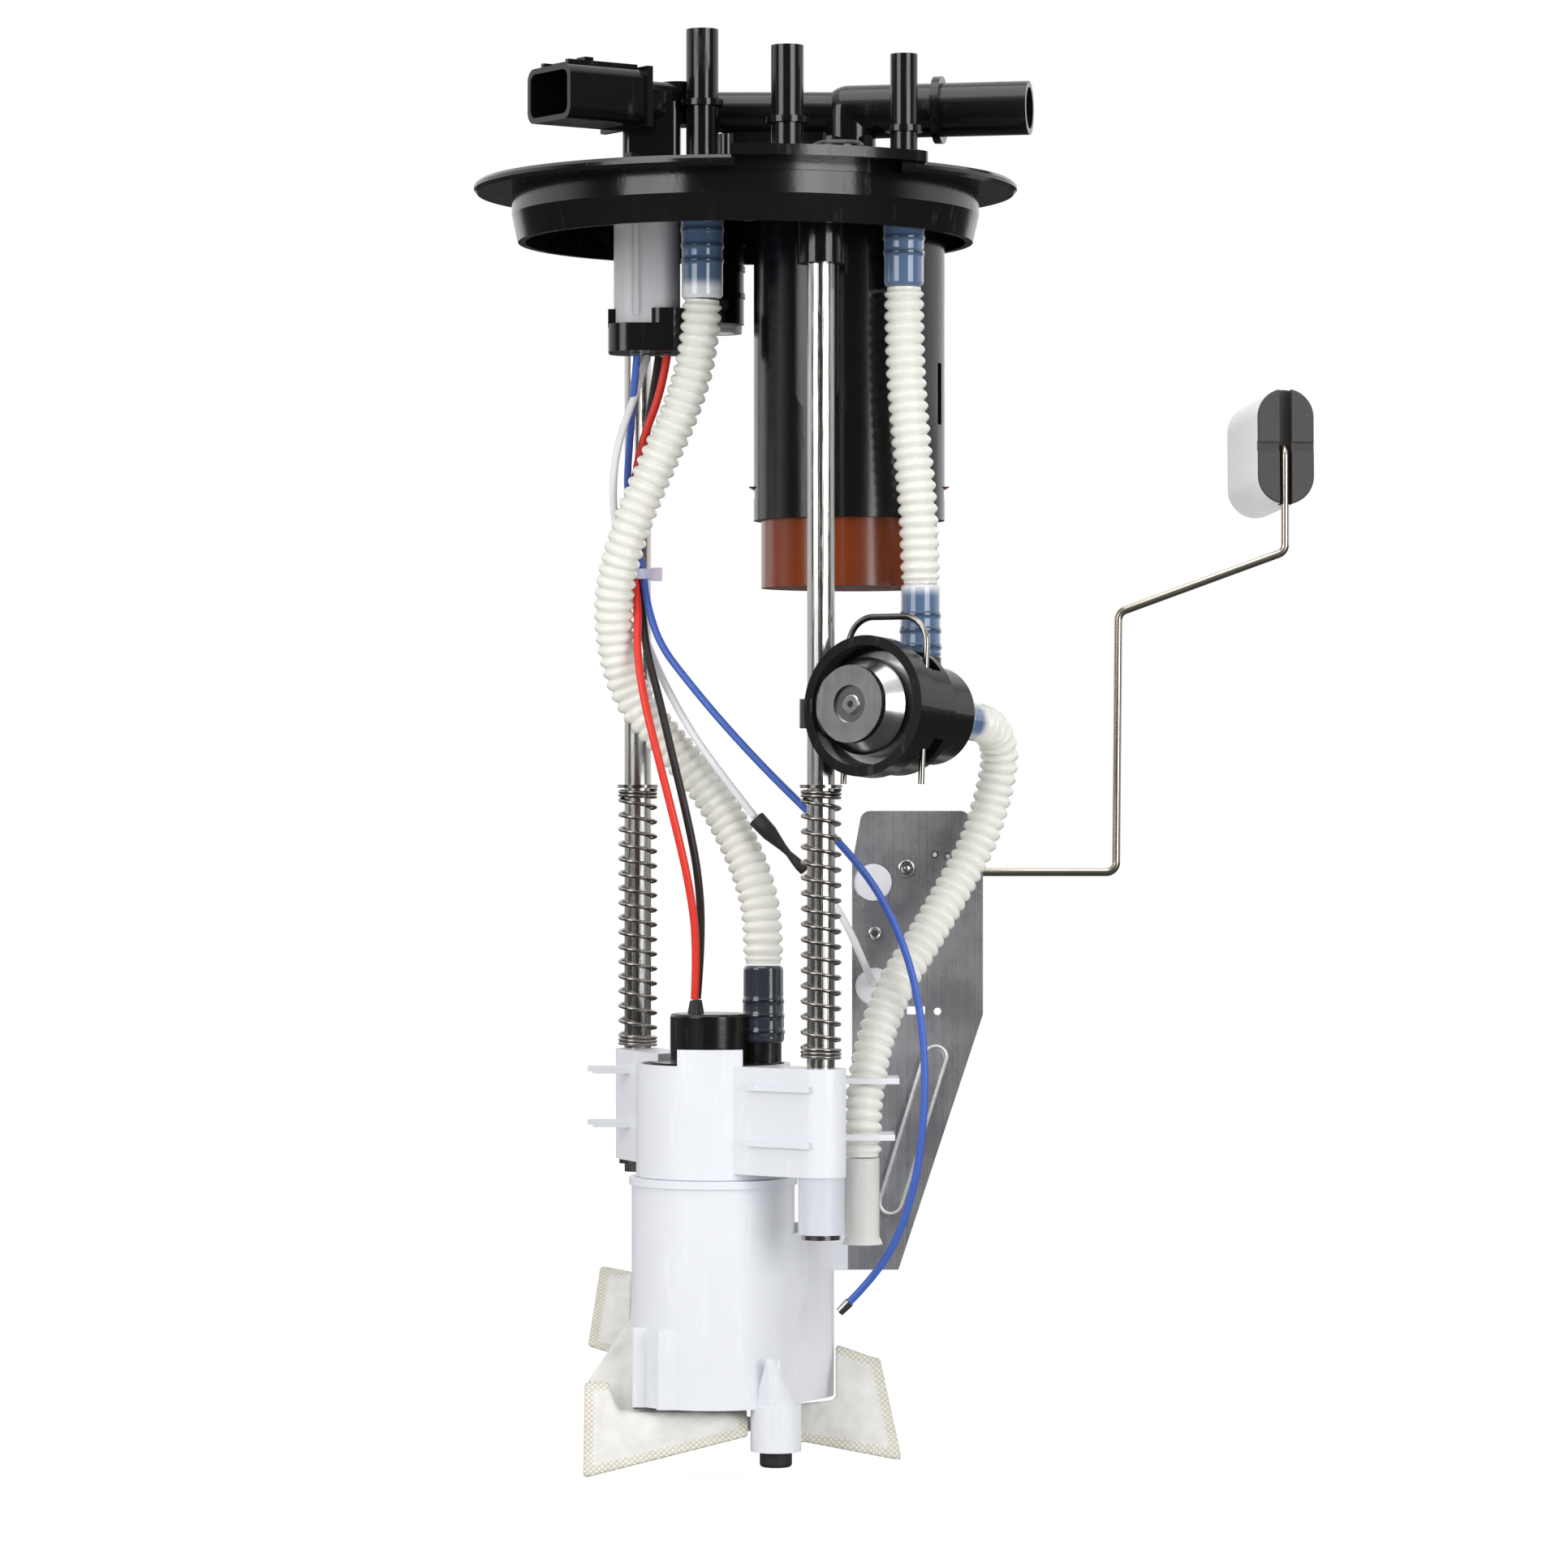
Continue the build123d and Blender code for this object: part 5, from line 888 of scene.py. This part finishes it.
hoseTube = {"Pitch": 0.0033, "Ridge": 0.0014, "Smooth": 0.0009, "Sides": 32}
wireTube = {"Step": 0.0014, "Sides": 14}
crestRoom = 0.0001
hoseKind = {"slot": "hose_nylon", "material": hoseNylon, "corrugated": True, "stiffness": "stiff"}
wireKind = {"corrugated": False, "stiffness": "medium"}
cordSet = {
    "supplyHose": {
        **hoseKind, "node": "supply_hose", "diameter": 0.0116, "length": 0.214, "span": (-0.05, -0.215),
        "route": [
            (-0.0126, -0.008, -0.0317), (-0.0134, -0.008, -0.0465), (-0.0186, -0.008, -0.0639),
            (-0.0267, -0.007, -0.0812), (-0.0339, -0.005, -0.0982), (-0.039, -0.001, -0.116),
            (-0.0386, 0.003, -0.1326), (-0.0337, 0.005, -0.1486), (-0.0229, 0.004, -0.1614),
            (-0.0112, 0.002, -0.1741), (-0.0025, -0.002, -0.1891), (0.0034, -0.0062, -0.2038),
            (0.0053, -0.008, -0.2156), (0.0053, -0.008, -0.2264),
        ],
    },
    "returnHose": {
        **hoseKind, "node": "return_hose", "diameter": 0.0114, "length": 0.0856, "span": None,
        "route": [
            (0.046, -0.032, -0.0302), (0.0461, -0.0324, -0.0503), (0.0479, -0.033, -0.0738),
            (0.0505, -0.032, -0.0973), (0.0508, -0.031, -0.1156),
        ],
    },
    "drainHose": {
        **hoseKind, "node": "drain_hose", "diameter": 0.0112, "length": 0.149, "span": (-0.168, -0.262),
        "route": [
            (0.0674, -0.0073, -0.1554), (0.0707, -0.0026, -0.1558), (0.074, 0.0018, -0.1592),
            (0.0754, 0.0046, -0.1665), (0.0726, 0.005, -0.1794), (0.0683, 0.003, -0.1918),
            (0.0606, -0.001, -0.2056), (0.0521, -0.007, -0.2198), (0.0436, -0.013, -0.2327),
            (0.0384, -0.0186, -0.246), (0.0353, -0.0232, -0.2594), (0.034, -0.0266, -0.271),
            (0.034, -0.0266, -0.2816),
        ],
    },
    "redWire": {
        **wireKind, "node": "red_wire", "slot": "red_insulation", "material": redInsulation,
        "diameter": 0.0024, "length": 0.1972, "span": (-0.12, -0.225),
        "route": [
            (-0.0231, 0.003, -0.0469), (-0.0248, 0.004, -0.0576), (-0.0304, 0.006, -0.0713),
            (-0.0334, 0.007, -0.0857), (-0.0326, 0.0072, -0.0994), (-0.033, 0.0064, -0.1115),
            (-0.0316, 0.0005, -0.1224), (-0.0319, -0.0054, -0.1344), (-0.0298, -0.01, -0.1484),
            (-0.0257, -0.0134, -0.1648), (-0.021, -0.0144, -0.183), (-0.0164, -0.014, -0.2024),
            (-0.014, -0.012, -0.2202), (-0.0148, -0.0106, -0.2366),
        ],
    },
    "blackWire": {
        **wireKind, "node": "black_wire", "slot": "black_insulation", "material": blackInsulation,
        "diameter": 0.0024, "length": 0.1955, "span": (-0.12, -0.225),
        "route": [
            (-0.0257, 0.0084, -0.0469), (-0.0274, 0.0096, -0.0579), (-0.03, 0.0102, -0.0723),
            (-0.031, 0.01, -0.0868), (-0.0308, 0.0098, -0.0998), (-0.0319, 0.0093, -0.1115),
            (-0.0306, 0.0055, -0.1224), (-0.0292, 0.0004, -0.1344), (-0.0256, -0.0046, -0.1474),
            (-0.0218, -0.0086, -0.1634), (-0.0174, -0.0104, -0.1814), (-0.0136, -0.0096, -0.2002),
            (-0.0127, -0.0066, -0.219), (-0.0142, -0.0044, -0.2366),
        ],
    },
    "blueWire": {
        **wireKind, "node": "blue_wire", "slot": "blue_insulation", "material": blueInsulation,
        "diameter": 0.0022, "length": 0.3173, "span": (-0.12, -0.24),
        "route": [
            (-0.0321, 0.003, -0.0469), (-0.0331, 0.0046, -0.0591), (-0.0344, 0.0058, -0.0735),
            (-0.0352, 0.0056, -0.0879), (-0.0326, 0.0034, -0.1006), (-0.0303, 0.0072, -0.1115),
            (-0.0288, 0.0016, -0.1218), (-0.0249, -0.0034, -0.133), (-0.0173, -0.009, -0.1429),
            (-0.0078, -0.0144, -0.1544), (0.0052, -0.02, -0.1686), (0.0184, -0.025, -0.1816),
            (0.0294, -0.0266, -0.1926), (0.0387, -0.026, -0.2045), (0.0457, -0.0256, -0.2189),
            (0.05, -0.0266, -0.2341), (0.0522, -0.028, -0.2516), (0.052, -0.0286, -0.2693),
            (0.0499, -0.028, -0.287), (0.0452, -0.026, -0.3037), (0.038, -0.0234, -0.3163),
            (0.0304, -0.0216, -0.3242),
        ],
    },
    "whiteWire": {
        **wireKind, "node": "white_wire", "slot": "white_insulation", "material": whiteInsulation,
        "diameter": 0.0022, "length": 0.1508, "span": (-0.12, -0.2),
        "route": [
            (-0.0291, 0.0084, -0.0469), (-0.0328, 0.0046, -0.0592), (-0.0374, 0.0004, -0.0722),
            (-0.0392, -0.0004, -0.0846), (-0.0386, 0.0012, -0.0972), (-0.0352, 0.006, -0.1115),
            (-0.0326, 0.0086, -0.1214), (-0.029, 0.0054, -0.1324), (-0.0236, 0.0004, -0.1446),
            (-0.0159, -0.006, -0.1584), (-0.0068, -0.0108, -0.171), (0.0028, -0.0126, -0.1832),
        ],
    },
    "whiteTail": {
        **wireKind, "node": "white_wire_tail", "slot": "white_insulation", "material": whiteInsulation,
        "diameter": 0.0022, "length": 0.0567, "span": (-0.12, -0.2),
        "route": [
            (0.0178, -0.0142, -0.1994), (0.0244, -0.0146, -0.2061), (0.03, -0.0126, -0.2152),
            (0.034, -0.006, -0.2242), (0.0366, 0.003, -0.2302), (0.0378, 0.0105, -0.2326),
            (0.0382, 0.0164, -0.2329),
        ],
    },
}


def routeCurve(label, route):
    made, spline = curveObject(label, "NURBS", route)
    spline.order_u = 3
    spline.use_endpoint_u = True
    spline.resolution_u = 12
    return made


def centreline(curve):
    # points read from the spline itself
    mesh = finishedMesh(curve)
    points = [tuple(vertex.co) for vertex in mesh.vertices]
    bpy.data.meshes.remove(mesh)
    return points


for cordName, values in cordSet.items():
    curve = routeCurve(cordName + "Route", values["route"])
    path = centreline(curve)
    radius = values["diameter"] / 2
    if values["corrugated"]:
        tree, sizes = corrugatedTree, {"Valley": radius + crestRoom - hoseTube["Ridge"], **hoseTube}
    else:
        tree, sizes = wireTree, {"Radius": radius, **wireTube}
    piece = grownPiece(cordName, curve, tree, sizes, values["material"])
    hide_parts(values["node"])
    if values["span"]:
        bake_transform(piece)
    else:
        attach(piece, "flange_unit")

springSet = {
    "springLeft": {"node": "spring_left", "at": (-0.0328, 0.040)},
    "springRight": {"node": "spring_right", "at": (0.022, -0.040)},
    "top": -0.1748, "bottom": -0.2528, "turns": 21.0, "closed": 2.4, "radius": 0.0054, "wire": 0.00052,
}

for springName in ("springLeft", "springRight"):
    x, y = springSet[springName]["at"]
    sizes = {
        "Turns": springSet["turns"], "Closed": springSet["closed"], "Radius": springSet["radius"],
        "Wire": springSet["wire"], "Height": springSet["top"] - springSet["bottom"],
    }
    seedName = springName + "Seed"
    seed = addObject(seedName, bpy.data.meshes.new(seedName))  # the tree needs no input shape
    piece = grownPiece(springName, seed, coilTree, sizes, springSteel, (x, y, springSet["bottom"]))
    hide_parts(springSet[springName]["node"])
    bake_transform(piece)
print("springs ready")

strainerSet = {
    "full": 0.0021, "rim": 0.00035, "border": 0.0029, "rise": 0.0036, "step": 0.00085,
    "dimple": 0.0011, "dimpleScale": 165.0, "fineScale": 2.3, "bend": 0.002, "weld": 0.0006,
    "lobes": {
        "middle": {
            "points": [(-42, 2), (-40, -8), (-32, -24), (-4, -24), (13, -8), (16, 0), (-8, 12), (-36, 12)],
            "origin": (0, 0, -0.3613), "up": (0, 1, 0), "corner": 2.0,
        },
        "front": {
            "points": [(-21.8, 15.3), (-9, 16), (-7, 20), (24, 20), (26, 2.0), (25.8, -2.0), (-21.6, -15.4)],
            "origin": (-0.025, -0.025, -0.361), "up": (0, 0.55, 0.83), "corner": 1.2,
            "loose": (-16, 30, 5, 30), "roof": (-0.3572, -0.044, -0.036),
        },
        "fold": {
            "points": [(-12.4, -1.2), (0.2, 18), (1, 18), (1, -11.5), (-9, -11.5)],
            "origin": (-0.0335, -0.01, -0.3475), "up": (0, 0.35, 0.94), "corner": 0.8,
            "loose": (-30, 30, -30, 30),
        },
        "back": {
            "points": [(-3.9, 37), (5.8, 34), (5.8, 4.6), (1.5, -3.0), (-6.6, 0.6)],
            "origin": (-0.04, 0.005, -0.34), "up": (0, 0.82, 0.57), "corner": 1.6,
            "loose": (3, 30, -30, 60),
        },
        "right": {
            "points": [(1.6, 27), (12, 23.2), (14.8, 22.4), (21, -8.8), (-7.4, -3.1), (-13, -3.6),
                       (-13, 7.6), (0.4, 9.2), (1.6, 10.4)],
            "origin": (0.025, -0.004, -0.364), "up": (0, 0.42, 0.91), "corner": 1.2,
            "loose": (-30, 2.6, -2, 26),
        },
    },
}


def roundedOutline(points, radius, step):
    # polygon with rounded corners, in even steps
    corners = [Vector(point) for point in points]
    rough = []
    for index, corner in enumerate(corners):
        back = (corners[index - 1] - corner).normalized()
        ahead = (corners[(index + 1) % len(corners)] - corner).normalized()
        turn = back.angle(ahead)
        reach = min(radius / math.tan(turn / 2), radius * 2.2)
        first, last = corner + back * reach, corner + ahead * reach
        for part in range(7):
            share = part / 6
            rough.append(first.lerp(corner, share).lerp(corner.lerp(last, share), share))
    even = []
    for index, point in enumerate(rough):
        following = rough[(index + 1) % len(rough)]
        count = max(1, round((following - point).length / step))
        even += [point.lerp(following, part / count) for part in range(count)]
    return even


def edgeDistance(point, outline, loose=None):
    # distance to the outline, left out where an edge lies in the loose window
    nearest = 1e9
    for index, first in enumerate(outline):
        last = outline[(index + 1) % len(outline)]
        if loose and loose[0] < first.x * 1000 < loose[1] and loose[2] < first.y * 1000 < loose[3]:
            continue
        spot, share = geometry.intersect_point_line(point, first, last)
        spot = first.lerp(last, min(max(share, 0), 1)) if not 0 <= share <= 1 else Vector(spot[:2])
        nearest = min(nearest, (spot - point).length)
    return nearest


def insideOutline(point, outline):
    inside = False
    for index, first in enumerate(outline):
        last = outline[(index + 1) % len(outline)]
        if (first.y > point.y) != (last.y > point.y):
            cross = (last.x - first.x) * (point.y - first.y) / (last.y - first.y) + first.x
            inside ^= point.x < cross
    return inside


def addLobe(bag, uvLayer, borderLayer, values, size):
    # two skins over one triangulated outline, welded along the sealed border
    scaled = [(x / 1000, y / 1000) for x, y in values["points"]]
    outline = roundedOutline(scaled, values["corner"] / 1000, size["step"])
    inner = []
    lowX, highX = min(p.x for p in outline), max(p.x for p in outline)
    lowY, highY = min(p.y for p in outline), max(p.y for p in outline)
    room = size["step"] * 0.6
    row, y = 0, lowY + room
    while y < highY:
        x = lowX + (row % 2) * size["step"] / 2
        while x < highX:
            point = Vector((x, y))
            if insideOutline(point, outline) and edgeDistance(point, outline) > room:
                inner.append(point)
            x += size["step"]
        y += size["step"] * 0.87
        row += 1
    ring = [(index, (index + 1) % len(outline)) for index in range(len(outline))]
    points, _, faces, _, _, _ = geometry.delaunay_2d_cdt(outline + inner, ring, [], 1, 1e-7)
    across = Vector((1, 0, 0))
    up = Vector(values["up"]).normalized()
    out = across.cross(up)
    origin = Vector(values["origin"])
    skins = []
    for side in (1, -1):
        made = []
        for index, point in enumerate(points):
            gap = edgeDistance(point, outline, values.get("loose"))
            swell = smoothStep((gap - size["border"]) / size["rise"])
            place = origin + across * point.x + up * point.y
            if "roof" in values:
                # the sheet turns level where it meets the canister's floor
                roof, clear, under = values["roof"]
                roof += 0.02 * (1 - smoothStep((place.x - clear) / (under - clear)))
                over = (place.z - roof) / size["bend"]
                passed = math.log(1 + math.exp(min(over * 2, 30))) / 2 * size["bend"]
                place.z -= passed
                place.y += passed * 0.5
            spot = place * size["dimpleScale"]
            lumps = noise.noise(spot) + 0.5 * noise.noise(spot * size["fineScale"])
            height = size["rim"] + (size["full"] - size["rim"]) * swell
            height -= size["dimple"] * swell * (0.5 + 0.6 * lumps)
            vertex = bag.verts.new(place + out * side * max(height, size["rim"] * 0.8))
            vertex[borderLayer] = 1 - smoothStep((gap - size["border"]) / size["weld"] + 0.5)
            made.append(vertex)
        skins.append(made)
    for face in faces:
        for side, skin in enumerate(skins):
            order = face if side == 0 else face[::-1]
            patch = bag.faces.new([skin[index] for index in order])
            patch.smooth = True
            for loop, index in zip(patch.loops, order):
                loop[uvLayer].uv = points[index] * 100
    for first, last in ring:
        side = bag.faces.new([skins[0][first], skins[1][first], skins[1][last], skins[0][last]])
        for loop, index in zip(side.loops, (first, first, last, last)):
            loop[uvLayer].uv = points[index] * 100


def makeStrainer():
    bag = bmesh.new()
    uvLayer = bag.loops.layers.uv.new("weave")
    borderLayer = bag.verts.layers.float.new("border")
    for values in strainerSet["lobes"].values():
        addLobe(bag, uvLayer, borderLayer, values, strainerSet)
    bmesh.ops.recalc_face_normals(bag, faces=bag.faces)
    made = meshObject("strainerBag", bag)
    made.data.materials.append(strainerFelt)
    return made


strainerBag = makeStrainer()
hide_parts("strainer_bag")
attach(strainerBag, "reservoir")
print("strainer bag ready", len(strainerBag.data.polygons), "faces")
